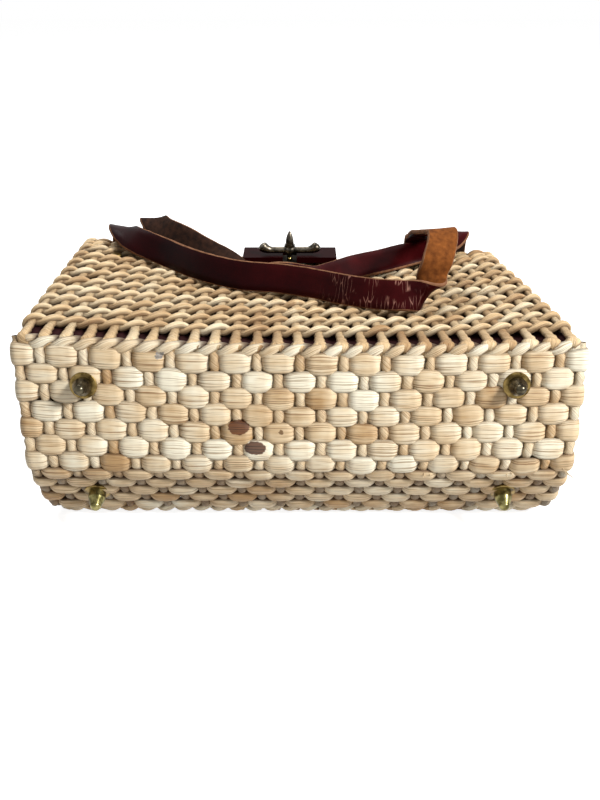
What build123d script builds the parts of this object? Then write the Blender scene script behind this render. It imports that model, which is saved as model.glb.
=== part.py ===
from build123d import *
import math
import os

os.makedirs("parts", exist_ok=True)

# A box-shaped woven straw handbag that lies on its back wall, in millimetres.
# The base faces -Y, the mouth faces +Y, and the origin is in the middle of the back wall.

# Overall form of the woven body
WIDTH = 330.0               # along the front fold
DEPTH = 129.0               # back wall to front wall
BASE_BACK_SHARE = 0.957     # of the width, along the back fold
MOUTH_FRONT_SHARE = 0.908   # of the width, along the front rim
MOUTH_BACK_SHARE = 0.895    # of the width, along the back rim
MOUTH_SHIFT = -8.0          # the slack mouth leans to the left
FOLD_LEAD = 12.0            # the front fold stands this far ahead of the back fold
BASE_LEAN = 2.0             # left edge of the front wall above its mean, at the base
MOUTH_LEAN = 5.0            # and at the mouth
BASE_SAG = 5.0              # middle of the front wall below its edges, at the base
MOUTH_SAG = 13.0            # and at the mouth
CORNER_RADIUS = 9.0
CREASE_OUT = 28.0           # the slumped base bulges to a crease
CREASE_UP = 51.0
CREASE_RADIUS = 29.0
REST_FLAT = 0.3             # crests of the back wall pressed flat where the bag lies on them
OVERRUN = 40.0              # how far cutting shapes pass what they cut
CLEARANCE = 0.3             # between soft neighbours

# Weave of the walls
WALL = 3.0
RIDGE = 2.6                 # a twined row stands this proud of the stakes
ROW_PITCH = 16.5
FOLD_BAND = 24.0            # base fold to the first twined row
ROWS_BELOW = 4              # rows between the fold and the origin
ROWS_ABOVE = 5              # rows between the origin and the rim, the rim with them
ROW_FOOT = 8.6
ROW_CREST = 4.0
STAKE_PITCH_SHARE = 0.0370  # of the width
GAP_WIDTH_SHARE = 0.59      # of the stake pitch
GAP_LENGTH = 6.6
FOLD_GAP_LENGTH = 9.0
FOLD_GAPS = 24
WALL_GAPS = 12              # in each open band of the front wall
OPEN_BANDS = 6

# Weave of the base
MAT = 4.0
PILLOW = 3.0                # a weft stands this proud of the mat
PILLOW_BEVEL = 1.6
PILLOW_ROOT = 1.0           # sunk into the mat
WEFT_ROWS = 12
STAKES = 25
BASE_BORDER = 5.0           # twined border beside each fold
BORDER_INSET = 10.0         # border ends short of the side walls
WEFT_GAP = 0.4              # between neighbouring wefts
WEFT_LENGTH_SHARE = 1.62    # of the stake pitch
WEFT_END_SHARE = 0.66       # of the height in the middle

# Lining
LINING = 1.0
LINING_SETBACK = 5.0        # below the rim

# Feet
FOOT_ACROSS_SHARE = 0.745   # of half the width
FOOT_INSET = 30.0           # from the nearer fold, along the mat
WASHER_RADIUS = 7.8
WASHER = 1.2
STUD_RADIUS = 5.2
STUD_LENGTH = 12.0
STUD_TIP_RADIUS = 3.4
STUD_BARREL_SHARE = 0.33    # of the stud, straight before its taper
DISC_CHAMFER_SHARE = 0.33   # of a disc's thickness
SHANK_RADIUS = 1.7
SHANK_ROOM = 0.15
BACKING_RADIUS = 6.0
BACKING = 1.0
PEEN_RADIUS = 2.8
PEEN = 0.8

# Handles
STRAP_WIDTH = 19.0
STRAP = 3.0
STRAP_OVERLAP = 34.0        # length inside the rim
FOLD_RADIUS = 5.0           # of the soft diagonal fold in the front handle
TURN_STEPS = 4              # stations along a turn over a rim
FOLD_STEPS = 8              # stations along the fold
UPRIGHT = 90                # degrees, at the top of a turn
LEVEL_IN = -90              # degrees, at its start inside the bag
RIVET_SETBACK_SHARE = 1.5   # of the row pitch, below the rim
RIVET_CAP_RADIUS = 3.5
RIVET_CAP = 1.5
RIVET_RADIUS = 1.5
RIVET_BURR_RADIUS = 3.2
RIVET_BURR = 1.0
RIVET_ROOM = 0.15

# Closure tab
TAB_WIDTH = 67.0
TAB = 4.0
TAB_REACH = 20.0            # from the front rim to its near end
TAB_TAIL = 36.0             # length inside the back wall
TAB_STAND_OFF = 10.0        # how far its upright part stands outside the rims
TAB_BEND = 8.0              # radius of its bends
TAB_CORNER = 6.0
NOTCH_WIDTH = 10.0
TAB_RIVET_SPREAD = 40.0

# Clasp
CLASP_SETBACK = 13.0        # post behind the front rim
PLATE_RADIUS = 13.0
PLATE = 1.6
POST_RADIUS = 2.0
HUB_RADIUS = 4.4
HUB = 5.2
HUB_ROOM = 0.8              # between tab and hub
BORE_ROOM = 0.05
BAR_RADIUS = 2.4
BAR_STRAIGHT = 12.0         # half the straight middle
BAR_BEND = 12.0
BAR_BEND_ANGLE = 42.0
KNOB_RADIUS = 3.5
FINIAL_RADIUS = 2.9
FINIAL_COLLAR_RADIUS = 3.8
FINIAL_COLLAR = 1.4
FINIAL = 11.0
FINIAL_TIP_RADIUS = 0.5
FINIAL_ROOM = 0.1
FINIAL_SHOULDER_SHARE = 0.76           # of its radius
FINIAL_SHOULDER_HEIGHT_SHARE = 0.6     # of its nose
POST_DEPTH_SHARE = 0.33                # of the finial, taken up by the post
CLASP_BACKING_RADIUS = 10.0
CLASP_BACKING = 1.0
HUB_CHAMFER_SHARE = 0.17               # of the hub's height
TAB_EDGE_SHARE = 0.33                  # of the tab's width, past which its outer corners lie

# Where the straps run, and which way each station faces: shares of half the mouth across,
# of the height along, and of the strap's width for the lift off the front wall,
# then a direction across the strap
FLAT = (1, 0, 0)
FRONT_LEFT_SHARE = -0.86
FRONT_RIGHT_SHARE = 0.58
BACK_LEFT_SHARE = -0.71
BACK_RIGHT_SHARE = 0.76
FRONT_LEFT_CREST_SHARE = 0.55
FRONT_RIGHT_CREST_SHARE = 0.82
BACK_LEFT_CREST_SHARE = 1.1
BACK_RIGHT_CREST_SHARE = 0.8
FRONT_PASS_SHARES = [
    (-0.79, 0.29, 0.25, (0.66, 0.49, 0.57)),
    (-0.64, 0.20, 0.02, (0.29, 0.30, 0.91)),
    (-0.41, 0.02, 0.02, (0.18, 0.25, 0.95)),
    (-0.26, -0.05, 0.02, (0.12, 0.32, 0.94)),
    (-0.08, -0.075, 0.02, (0.09, 0.33, 0.94)),
    (0.06, -0.13, 0.02, (0.12, 0.31, 0.94)),
    (0.18, -0.20, 0.02, (0.12, 0.31, 0.94)),
    (0.32, -0.26, 0.02, (0.08, 0.31, 0.95)),
]
FOLD_START_SHARES = (0.47, -0.285, 0.02, (0, 0.3, 0.95))
FRONT_ARCH_SHARES = [
    (0.563, -0.205, 1.03, (0.98, 0.18, 0)),
    (0.585, -0.155, 1.38, (0.88, 0.47, 0)),
    (0.602, -0.07, 1.63, (0.90, 0.43, 0)),
    (0.598, 0.04, 1.40, (0.97, 0.25, 0)),
    (0.588, 0.17, 1.02, (1, 0.08, 0)),
    (0.58, 0.29, 0.68, FLAT),
]
BACK_PASS_SHARES = [
    (-0.655, 0.345, 0.60, (-0.80, -0.15, -0.55)),
    (-0.54, 0.275, 0.34, (-0.40, -0.35, -0.85)),
    (-0.43, 0.205, 0.17, (-0.42, -0.55, -0.72)),
    (-0.33, 0.13, 0.25, (-0.48, -0.80, -0.35)),
    (-0.23, 0.05, 0.10, (-0.40, -0.80, 0.45)),
    (-0.13, 0.008, 0.02, (-0.20, -0.60, 0.77)),
    (-0.05, -0.05, 0.02, (-0.05, 0.35, 0.93)),
    (0.02, -0.035, 0.02, (-0.05, 0.68, 0.73)),
    (0.09, 0.0, 0.02, (-0.15, 0.82, 0.55)),
    (0.17, 0.065, 0.03, (-0.30, 0.75, 0.56)),
    (0.27, 0.155, 0.04, (-0.41, 0.70, 0.56)),
    (0.39, 0.225, 0.04, (-0.45, 0.68, 0.56)),
    (0.51, 0.295, 0.05, (-0.52, 0.64, 0.56)),
    (0.63, 0.345, 0.14, (-0.66, 0.68, 0.32)),
    (0.715, 0.378, 0.38, (-0.85, 0.45, 0.15)),
]

BASE_WIDTH_BACK = WIDTH * BASE_BACK_SHARE
MOUTH_WIDTH_FRONT = WIDTH * MOUTH_FRONT_SHARE
MOUTH_WIDTH_BACK = WIDTH * MOUTH_BACK_SHARE
HALF_MOUTH = MOUTH_WIDTH_FRONT / 2
STAKE_PITCH = WIDTH * STAKE_PITCH_SHARE
GAP_WIDTH = STAKE_PITCH * GAP_WIDTH_SHARE
FOOT_ACROSS = FOOT_ACROSS_SHARE * WIDTH / 2
FOLD_Y = -(FOLD_BAND + ROWS_BELOW * ROW_PITCH)
RIM_Y = ROWS_ABOVE * ROW_PITCH
HEIGHT = RIM_Y - FOLD_Y
FRONT_RIM_Y = RIM_Y - FOLD_LEAD
TILT = math.atan2(FOLD_LEAD, DEPTH)
INNER_STACK = RIDGE + WALL + CLEARANCE + LINING + CLEARANCE
INNER_FACE = -(PILLOW + MAT)
RIVET_SETBACK = RIVET_SETBACK_SHARE * ROW_PITCH
CAP_DEPTH = RIDGE - 2 * CLEARANCE
WALL_GRIP = 2 * CLEARANCE + WALL + CLEARANCE + LINING + CLEARANCE


def blend(start, end, share):
    return start + (end - start) * share


def height_share(y):
    return (y - FOLD_Y) / HEIGHT


# Walls

def row_plane(y):
    """The plane of one row of weaving, leaning forward with the base."""
    return Plane(origin=(0, y, 0), x_dir=(1, 0, 0), z_dir=(0, -math.cos(TILT), -math.sin(TILT)))


def section(y, inset):
    """Cross-section of the body at one row, inset from the crests of the weave."""
    share = height_share(y)
    centre = MOUTH_SHIFT * share
    back = blend(BASE_WIDTH_BACK, MOUTH_WIDTH_BACK, share) / 2 - inset
    front = blend(WIDTH, MOUTH_WIDTH_FRONT, share) / 2 - inset
    lean = blend(BASE_LEAN, MOUTH_LEAN, share)
    sag = blend(BASE_SAG, MOUTH_SAG, share)
    stretch = 1 / math.cos(TILT)
    top = DEPTH - inset
    foot = (inset - REST_FLAT) * stretch
    left_top = (centre - front, (top + lean) * stretch)
    right_top = (centre + front, (top - lean) * stretch)
    middle_top = (centre, (top - sag) * stretch)
    sides = Polyline(left_top, (centre - back, foot), (centre + back, foot), right_top)
    face = make_face(sides + ThreePointArc(right_top, middle_top, left_top))
    face = fillet(face.vertices(), CORNER_RADIUS - inset)
    return row_plane(y) * face


def front_height(x, y):
    """Height of the weave's crests on the front wall."""
    share = height_share(y + FOLD_LEAD)
    half = blend(WIDTH, MOUTH_WIDTH_FRONT, share) / 2
    across = (x - MOUTH_SHIFT * share) / half
    lean = blend(BASE_LEAN, MOUTH_LEAN, share)
    sag = blend(BASE_SAG, MOUTH_SAG, share)
    return DEPTH - lean * across - sag * (1 - across * across)


def front_frame(x, y, depth):
    """A plane on the front wall, sunk by depth below the crests, facing out."""
    step = ROW_CREST
    slope_x = (front_height(x + step, y) - front_height(x - step, y)) / (2 * step)
    slope_y = (front_height(x, y + step) - front_height(x, y - step)) / (2 * step)
    normal = Vector(-slope_x, -slope_y, 1).normalized()
    origin = Vector(x, y, front_height(x, y)) - normal * depth
    return Plane(origin=origin, x_dir=(1, 0, slope_x), z_dir=normal)


def row_stations():
    """Heights and insets of the walls' outer face: a ridge for each twined row."""
    stations = [(FOLD_Y - OVERRUN, RIDGE)]
    for row in range(-ROWS_BELOW, ROWS_ABOVE):
        y = row * ROW_PITCH
        stations += [(y - ROW_FOOT / 2, RIDGE), (y - ROW_CREST / 2, 0)]
        stations += [(y + ROW_CREST / 2, 0), (y + ROW_FOOT / 2, RIDGE)]
    stations += [(RIM_Y - ROW_FOOT, RIDGE), (RIM_Y - ROW_FOOT / 2, 0)]
    stations += [(RIM_Y, 0)]
    return stations


def tube(stations):
    return loft([section(y, inset) for y, inset in stations], ruled=True)


# Base

BACK_FOLD = Vector(0, FOLD_Y, 0)
CREASE = Vector(0, FOLD_Y - CREASE_OUT, CREASE_UP)
FRONT_FOLD = Vector(0, FOLD_Y - FOLD_LEAD, DEPTH)
LOWER_RUN = (CREASE - BACK_FOLD).normalized()
UPPER_RUN = (FRONT_FOLD - CREASE).normalized()


def inward(run):
    return Vector(0, run.Z, -run.Y)


def behind_base(inset):
    """All that lies behind the base, with its profile moved in by inset."""
    lower_in = inward(LOWER_RUN)
    upper_in = inward(UPPER_RUN)
    mitre = (lower_in + upper_in) * (inset / (1 + lower_in.dot(upper_in)))
    start = BACK_FOLD + lower_in * inset - LOWER_RUN * OVERRUN
    end = FRONT_FOLD + upper_in * inset + UPPER_RUN * OVERRUN
    far = RIM_Y + OVERRUN
    profile = FilletPolyline(start, CREASE + mitre, end, radius=CREASE_RADIUS - inset)
    rest = Polyline(end, (0, far, end.Z), (0, far, start.Z), start)
    half = WIDTH / 2 + OVERRUN
    return extrude(make_face(profile + rest), half, dir=(1, 0, 0), both=True)


BASE_PROFILE = FilletPolyline(BACK_FOLD, CREASE, FRONT_FOLD, radius=CREASE_RADIUS)


def base_plane(x, run):
    """A plane on the crests of the base weave, run along the profile from the back fold."""
    share = run / BASE_PROFILE.length
    point = BASE_PROFILE.position_at(share)
    along = BASE_PROFILE.tangent_at(share)
    return Plane(origin=(x, point.Y, point.Z), x_dir=(1, 0, 0), z_dir=(0, -along.Z, along.Y))


def weft(length, middle, end):
    """One weft where it passes over a stake: a low bevelled pillow, its crest at zero."""

    def outline(trim, level):
        long = length / 2 - trim
        wide = middle / 2 - trim
        narrow = end / 2 - trim
        points = [(-long, -narrow), (0, -wide), (long, -narrow), (long, narrow), (0, wide), (-long, narrow)]
        return Pos(0, 0, level) * make_face(Polyline(*points, close=True))

    return loft([outline(0, -PILLOW - PILLOW_ROOT), outline(PILLOW_BEVEL, 0)], ruled=True)


def base_width(run):
    share = BASE_PROFILE.position_at(run / BASE_PROFILE.length).Z / DEPTH
    return blend(BASE_WIDTH_BACK, WIDTH, share)


def fold_drop(x, run):
    """How far the rows lie below their mean, following the lean and sag of the front fold."""
    across = x / (base_width(run) / 2)
    drop = BASE_LEAN * across + BASE_SAG * (1 - across * across)
    return drop * run / BASE_PROFILE.length


def base_wefts():
    pieces = []
    row_pitch = (BASE_PROFILE.length - 2 * BASE_BORDER) / WEFT_ROWS
    for row in range(WEFT_ROWS):
        run = BASE_BORDER + row * row_pitch + row_pitch / 2
        pitch = (base_width(run) - BORDER_INSET) / (STAKES + 1)
        shape = weft(pitch * WEFT_LENGTH_SHARE, row_pitch - WEFT_GAP, row_pitch * WEFT_END_SHARE)
        for stake in range(STAKES):
            if (stake + row) % 2 == 0:
                x = (stake - (STAKES - 1) / 2) * pitch
                pieces.append(base_plane(x, run - fold_drop(x, run)) * shape)
    for run in (BASE_BORDER / 2, BASE_PROFILE.length - BASE_BORDER / 2):
        length = base_width(run) - 2 * BORDER_INSET
        lean = math.degrees(math.atan2(-fold_drop(length / 2, run), length / 2))
        plane = base_plane(0, run - fold_drop(0, run)).rotated((0, 0, lean))
        pieces.append(plane * weft(length, BASE_BORDER, BASE_BORDER))
    return pieces


def gap_boxes():
    """Openings of the weave: a row along each fold, and staggered rows on the front wall."""
    boxes = []
    first_row = FOLD_Y + FOLD_BAND - ROW_FOOT / 2
    fold_gap_y = first_row - FOLD_GAP_LENGTH / 2
    for place in range(FOLD_GAPS):
        x = (place - (FOLD_GAPS - 1) / 2) * STAKE_PITCH
        gap = Box(GAP_WIDTH, FOLD_GAP_LENGTH, 2 * (RIDGE + WALL + BASE_SAG))
        boxes.append(Pos(x, fold_gap_y, 0) * gap)
        front_y = fold_gap_y - FOLD_LEAD
        boxes.append(Pos(x, front_y, front_height(x, front_y)) * gap)
    for band in range(OPEN_BANDS):
        y = FOLD_Y + FOLD_BAND + band * ROW_PITCH + ROW_PITCH / 2 - FOLD_LEAD
        stagger = (band % 2) * STAKE_PITCH - STAKE_PITCH / 2
        for place in range(WALL_GAPS):
            x = (2 * place - WALL_GAPS + 1) * STAKE_PITCH + stagger
            gap = Box(GAP_WIDTH, GAP_LENGTH, 2 * (RIDGE + WALL + BASE_SAG))
            boxes.append(front_frame(x, y, 0) * gap)
    return boxes


# Feet

FOOT_NAMES = {
    "front_left": (-FOOT_ACROSS, BASE_PROFILE.length - FOOT_INSET),
    "front_right": (FOOT_ACROSS, BASE_PROFILE.length - FOOT_INSET),
    "back_left": (-FOOT_ACROSS, FOOT_INSET),
    "back_right": (FOOT_ACROSS, FOOT_INSET),
}


def disc(radius, thickness, hole):
    ring = Circle(radius) - Circle(hole)
    solid = extrude(ring, thickness)
    outer_edge = solid.edges().group_by(Axis.Z)[-1].sort_by(SortBy.RADIUS)[-1]
    return chamfer(outer_edge, thickness * DISC_CHAMFER_SHARE)


def foot_stud():
    """Bullet stud with its shank, peened over the backing washer."""
    peen_top = INNER_FACE - BACKING
    tip = WASHER + STUD_LENGTH
    shoulder = tip - STUD_TIP_RADIUS
    sides = Polyline(
        (0, peen_top - PEEN),
        (PEEN_RADIUS, peen_top - PEEN),
        (PEEN_RADIUS, peen_top),
        (SHANK_RADIUS, peen_top),
        (SHANK_RADIUS, WASHER),
        (STUD_RADIUS, WASHER),
        (STUD_RADIUS, WASHER + STUD_LENGTH * STUD_BARREL_SHARE),
        (STUD_TIP_RADIUS, shoulder),
    )
    diagonal = STUD_TIP_RADIUS * math.sqrt(1 / 2)
    dome = ThreePointArc((STUD_TIP_RADIUS, shoulder), (diagonal, shoulder + diagonal), (0, tip))
    outline = make_face(sides + dome + Line((0, tip), (0, peen_top - PEEN)))
    return revolve(Plane.XZ * outline, Axis.Z)


# Handles

def on_front(x_share, y_share, lift_share, across):
    """A strap station above the front wall: lift_share of the strap's width above touching it."""
    x = x_share * HALF_MOUTH
    y = y_share * HEIGHT
    across = Vector(*across).normalized()
    upright = abs(across.Z)
    half_rise = upright * STRAP_WIDTH / 2 + (1 - upright) * STRAP / 2
    z = front_height(x, y) + CLEARANCE + half_rise + lift_share * STRAP_WIDTH
    return Vector(x, y, z), across


def front_leg(x_share, past_rim):
    """A strap station flat on the lining inside the front wall, or past its rim."""
    frame = front_frame(x_share * HALF_MOUTH, FRONT_RIM_Y + past_rim, INNER_STACK + STRAP / 2)
    return frame.origin, frame.x_dir


def back_leg(x_share, past_rim):
    """A strap station flat on the lining inside the back wall, or past its rim."""
    return Vector(x_share * HALF_MOUTH, RIM_Y + past_rim, INNER_STACK + STRAP / 2), -Vector(*FLAT)


def strap(stations):
    """A flat strap lofted through its stations, each a centre and a direction across."""
    faces = []
    last = len(stations) - 1
    for index, (centre, across) in enumerate(stations):
        before = stations[max(index - 1, 0)][0]
        after = stations[min(index + 1, last)][0]
        plane = Plane(origin=centre, x_dir=across, z_dir=(after - before).normalized())
        faces.append(plane * Rectangle(STRAP_WIDTH, STRAP))
    return loft(faces, ruled=True)


def rim_turn(x_share, middle_y, middle_z, radius, start, end):
    """Points round an arc over a rim, seen from the side, angles in degrees from +Y."""
    points = []
    for step in range(TURN_STEPS + 1):
        angle = math.radians(blend(start, end, step / TURN_STEPS))
        y = middle_y + radius * math.cos(angle)
        z = middle_z + radius * math.sin(angle)
        points.append(Vector(x_share * HALF_MOUTH, y, z))
    return points


def turn_over_front(x_share, crest_share):
    """From the leg inside the front wall, round the rim, to a crest above it."""
    x = x_share * HALF_MOUTH
    leg, across = front_leg(x_share, 0)
    low = leg.Z
    high = front_height(x, FRONT_RIM_Y) + crest_share * STRAP_WIDTH
    radius = (high - low) / 2
    middle_y = FRONT_RIM_Y + CLEARANCE
    turn = rim_turn(x_share, middle_y, low + radius, radius, LEVEL_IN, UPRIGHT)
    return [(point, across) for point in turn]


def rise_from_back(x_share, crest_share):
    """From the leg inside the back wall, up across the mouth, to just short of a crest above the front rim."""
    low = INNER_STACK + STRAP / 2
    bend = STRAP_WIDTH / 2
    arch = STRAP_WIDTH
    high = front_height(x_share * HALF_MOUTH, FRONT_RIM_Y) + crest_share * STRAP_WIDTH
    foot = rim_turn(x_share, RIM_Y + CLEARANCE, low + bend, bend, LEVEL_IN, 0)
    head = rim_turn(x_share, FRONT_RIM_Y - bend / 2, high - arch, arch, 0, UPRIGHT)
    return [(point, -Vector(*FLAT)) for point in foot + head[:-1]]


def diagonal_fold(start, along, across):
    """A strap that folds back on itself along a slanted line and leaves across its old run."""
    behind = across.cross(along).normalized()
    axis = (along + across).normalized()
    side = (along - across).normalized()
    stations = []
    for step in range(FOLD_STEPS + 1):
        angle = math.pi * step / FOLD_STEPS
        turned = side * math.cos(angle) + behind * math.sin(angle)
        reach = side * math.sin(angle) + behind * (1 - math.cos(angle))
        centre = start + axis * (FOLD_RADIUS * angle) + reach * FOLD_RADIUS
        stations.append((centre, (axis - turned).normalized()))
    return stations


def in_air(x_share, y_share, lift_share, across):
    """A strap station that hangs free above the mean front wall."""
    return Vector(x_share * HALF_MOUTH, y_share * HEIGHT, DEPTH + lift_share * STRAP_WIDTH), Vector(*across)


def front_handle_route():
    start, across = on_front(*FOLD_START_SHARES)
    along = Vector(*FLAT)
    route = [front_leg(FRONT_LEFT_SHARE, -STRAP_OVERLAP)]
    route += turn_over_front(FRONT_LEFT_SHARE, FRONT_LEFT_CREST_SHARE)
    route += [on_front(*share) for share in FRONT_PASS_SHARES]
    route += diagonal_fold(start, along, across)
    route += [in_air(*share) for share in FRONT_ARCH_SHARES]
    route += list(reversed(turn_over_front(FRONT_RIGHT_SHARE, FRONT_RIGHT_CREST_SHARE)))
    route += [front_leg(FRONT_RIGHT_SHARE, -STRAP_OVERLAP)]
    return route


def back_handle_route():
    """Half turned over on its way: the suede shows on the left, the grain on the right."""
    route = [back_leg(BACK_LEFT_SHARE, -STRAP_OVERLAP)]
    route += rise_from_back(BACK_LEFT_SHARE, BACK_LEFT_CREST_SHARE)
    route += [on_front(*share) for share in BACK_PASS_SHARES]
    route += list(reversed(rise_from_back(BACK_RIGHT_SHARE, BACK_RIGHT_CREST_SHARE)))
    route += [back_leg(BACK_RIGHT_SHARE, -STRAP_OVERLAP)]
    return route


# Rivets: the cap lies between two rows outside, the burr on the strap or tab inside

def rivet(grip):
    cap = extrude(Circle(RIVET_CAP_RADIUS), RIVET_CAP)
    cap = fillet(cap.edges().group_by(Axis.Z)[-1], RIVET_CAP / 2)
    inner = -(grip + RIVET_ROOM)
    shank = Pos(0, 0, inner) * extrude(Circle(RIVET_RADIUS), -inner)
    burr = Pos(0, 0, inner - RIVET_BURR) * extrude(Circle(RIVET_BURR_RADIUS), RIVET_BURR)
    return cap + shank + burr


def back_frame(x, y, depth):
    """A plane on the back wall, sunk by depth below the crests, facing out."""
    return Plane(origin=(x, y, depth), x_dir=(1, 0, 0), z_dir=(0, 0, -1))


def hole(frame, radius):
    return frame * Cylinder(radius, OVERRUN)


FRONT_RIVET_Y = FRONT_RIM_Y - RIVET_SETBACK
BACK_RIVET_Y = RIM_Y - RIVET_SETBACK
HANDLE_RIVETS = {
    "front_left": front_frame(FRONT_LEFT_SHARE * HALF_MOUTH, FRONT_RIVET_Y, CAP_DEPTH),
    "front_right": front_frame(FRONT_RIGHT_SHARE * HALF_MOUTH, FRONT_RIVET_Y, CAP_DEPTH),
    "back_left": back_frame(BACK_LEFT_SHARE * HALF_MOUTH, BACK_RIVET_Y, CAP_DEPTH),
    "back_right": back_frame(BACK_RIGHT_SHARE * HALF_MOUTH, BACK_RIVET_Y, CAP_DEPTH),
}

# Clasp and closure tab

CLASP_Y = FRONT_RIM_Y - CLASP_SETBACK
CLASP_X = MOUTH_SHIFT * height_share(CLASP_Y + FOLD_LEAD)
PLATE_Z = front_height(CLASP_X - PLATE_RADIUS, CLASP_Y) + CLEARANCE
TAB_END_Y = FRONT_RIM_Y - TAB_REACH
TAB_UNDER = max(PLATE_Z + PLATE, front_height(CLASP_X - TAB_WIDTH / 2, TAB_END_Y)) + CLEARANCE
HUB_Z = TAB_UNDER + TAB + HUB_ROOM
FINIAL_Z = HUB_Z + HUB + FINIAL_ROOM
POST_TOP = FINIAL_Z + FINIAL * POST_DEPTH_SHARE
BACKING_Z = front_height(CLASP_X + CLASP_BACKING_RADIUS, CLASP_Y) - INNER_STACK - CLEARANCE - CLASP_BACKING
BAR_HALF = BAR_STRAIGHT + BAR_BEND * math.sin(math.radians(BAR_BEND_ANGLE))
TAB_RIVETS = [
    back_frame(CLASP_X + side * TAB_RIVET_SPREAD / 2, BACK_RIVET_Y, CAP_DEPTH) for side in (-1, 1)
]


def clasp_at(z):
    return Pos(CLASP_X, CLASP_Y, z)


def closure_tab():
    """Riveted inside the back wall, up across the mouth, over the front rim to the clasp."""
    low = INNER_STACK + TAB / 2
    high = TAB_UNDER + TAB / 2
    out_back = RIM_Y + TAB_STAND_OFF
    out_front = FRONT_RIM_Y + TAB_STAND_OFF
    path = FilletPolyline(
        (CLASP_X, RIM_Y - TAB_TAIL, low),
        (CLASP_X, out_back, low),
        (CLASP_X, out_front, high),
        (CLASP_X, TAB_END_Y, high),
        radius=TAB_BEND,
    )
    start = Plane(origin=path @ 0, x_dir=(1, 0, 0), z_dir=path % 0)
    solid = sweep(start * Rectangle(TAB_WIDTH, TAB), path=path)
    notch_length = TAB_REACH - CLASP_SETBACK + BAR_HALF + KNOB_RADIUS
    notch_length = min(notch_length, TAB_REACH + TAB_STAND_OFF - TAB / 2)
    notch = Box(NOTCH_WIDTH, 2 * notch_length, 2 * OVERRUN)
    solid -= Pos(CLASP_X, TAB_END_Y, high + OVERRUN / 2) * notch
    corners = solid.edges().filter_by(Axis.Z).group_by(Axis.Y)[0]
    outer = [edge for edge in corners if abs(edge.center().X - CLASP_X) > TAB_WIDTH * TAB_EDGE_SHARE]
    return fillet(outer, TAB_CORNER)


def clasp_post():
    shaft = clasp_at(BACKING_Z) * extrude(Circle(POST_RADIUS), POST_TOP - BACKING_Z)
    head = clasp_at(BACKING_Z - PEEN) * extrude(Circle(PEEN_RADIUS), PEEN)
    return shaft + head


def clasp_toggle():
    """Hub and bar, the bar's ends bent up to knobs."""
    middle = HUB / 2
    angle = math.radians(BAR_BEND_ANGLE)
    rise = BAR_BEND * (1 - math.cos(angle))
    half = math.radians(BAR_BEND_ANGLE / 2)
    mid_out = BAR_STRAIGHT + BAR_BEND * math.sin(half)
    mid_up = middle + BAR_BEND * (1 - math.cos(half))
    right = ThreePointArc((BAR_STRAIGHT, 0, middle), (mid_out, 0, mid_up), (BAR_HALF, 0, middle + rise))
    left = ThreePointArc((-BAR_HALF, 0, middle + rise), (-mid_out, 0, mid_up), (-BAR_STRAIGHT, 0, middle))
    straight = Line((-BAR_STRAIGHT, 0, middle), (BAR_STRAIGHT, 0, middle))
    path = Wire([left.edge(), straight.edge(), right.edge()])
    bar = sweep(Plane(origin=path @ 0, z_dir=path % 0) * Circle(BAR_RADIUS), path=path)
    hub = extrude(Circle(HUB_RADIUS), HUB)
    hub = chamfer(hub.edges().group_by(Axis.Z)[-1], HUB * HUB_CHAMFER_SHARE)
    knobs = [Pos(side * BAR_HALF, 0, middle + rise) * Sphere(KNOB_RADIUS) for side in (-1, 1)]
    bore = Cylinder(POST_RADIUS + BORE_ROOM, 2 * OVERRUN)
    return clasp_at(HUB_Z) * (hub + bar + knobs - bore)


def clasp_finial():
    """Collar and pointed bullet, with a blind bore for the top of the post."""
    neck = FINIAL_COLLAR
    sides = Polyline((0, 0), (FINIAL_COLLAR_RADIUS, 0), (FINIAL_COLLAR_RADIUS, neck), (FINIAL_RADIUS, neck))
    shoulder = (FINIAL_RADIUS * FINIAL_SHOULDER_SHARE, blend(neck, FINIAL, FINIAL_SHOULDER_HEIGHT_SHARE))
    tip = (FINIAL_TIP_RADIUS, FINIAL)
    nose = ThreePointArc((FINIAL_RADIUS, neck), shoulder, tip)
    outline = make_face(sides + nose + Polyline(tip, (0, FINIAL), (0, 0)))
    solid = revolve(Plane.XZ * outline, Axis.Z)
    bore = extrude(Circle(POST_RADIUS + BORE_ROOM), POST_TOP - FINIAL_Z + BORE_ROOM)
    return clasp_at(FINIAL_Z) * (solid - bore)


# Assembly of the woven body and its lining

def wall_holes():
    holes = [hole(frame, RIVET_RADIUS + RIVET_ROOM) for frame in HANDLE_RIVETS.values()]
    holes += [hole(frame, RIVET_RADIUS + RIVET_ROOM) for frame in TAB_RIVETS]
    holes.append(clasp_at(PLATE_Z) * Cylinder(POST_RADIUS + SHANK_ROOM, OVERRUN))
    return holes


def under_rest():
    """All that lies below the surface that the bag rests on."""
    return extrude(Rectangle(WIDTH + OVERRUN, 2 * (HEIGHT + OVERRUN)), -OVERRUN)


def woven_body():
    body = tube(row_stations()) & behind_base(PILLOW)
    body += base_wefts()
    body -= under_rest()
    inner = tube([(FOLD_Y - OVERRUN, RIDGE + WALL), (RIM_Y + OVERRUN, RIDGE + WALL)])
    body -= inner & behind_base(PILLOW + MAT)
    feet = [hole(base_plane(x, run), SHANK_RADIUS + SHANK_ROOM) for x, run in FOOT_NAMES.values()]
    return body - (gap_boxes() + feet + wall_holes())


def lining():
    outer_inset = RIDGE + WALL + CLEARANCE
    inner_inset = outer_inset + LINING
    base_inset = PILLOW + MAT + BACKING + PEEN + CLEARANCE
    outer = tube([(FOLD_Y - OVERRUN, outer_inset), (RIM_Y - LINING_SETBACK, outer_inset)])
    inner = tube([(FOLD_Y - OVERRUN, inner_inset), (RIM_Y + OVERRUN, inner_inset)])
    shell = (outer & behind_base(base_inset)) - (inner & behind_base(base_inset + LINING))
    return shell - wall_holes()


def save(name, shape):
    shape.label = name
    export_step(shape, f"parts/{name}.step")


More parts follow.
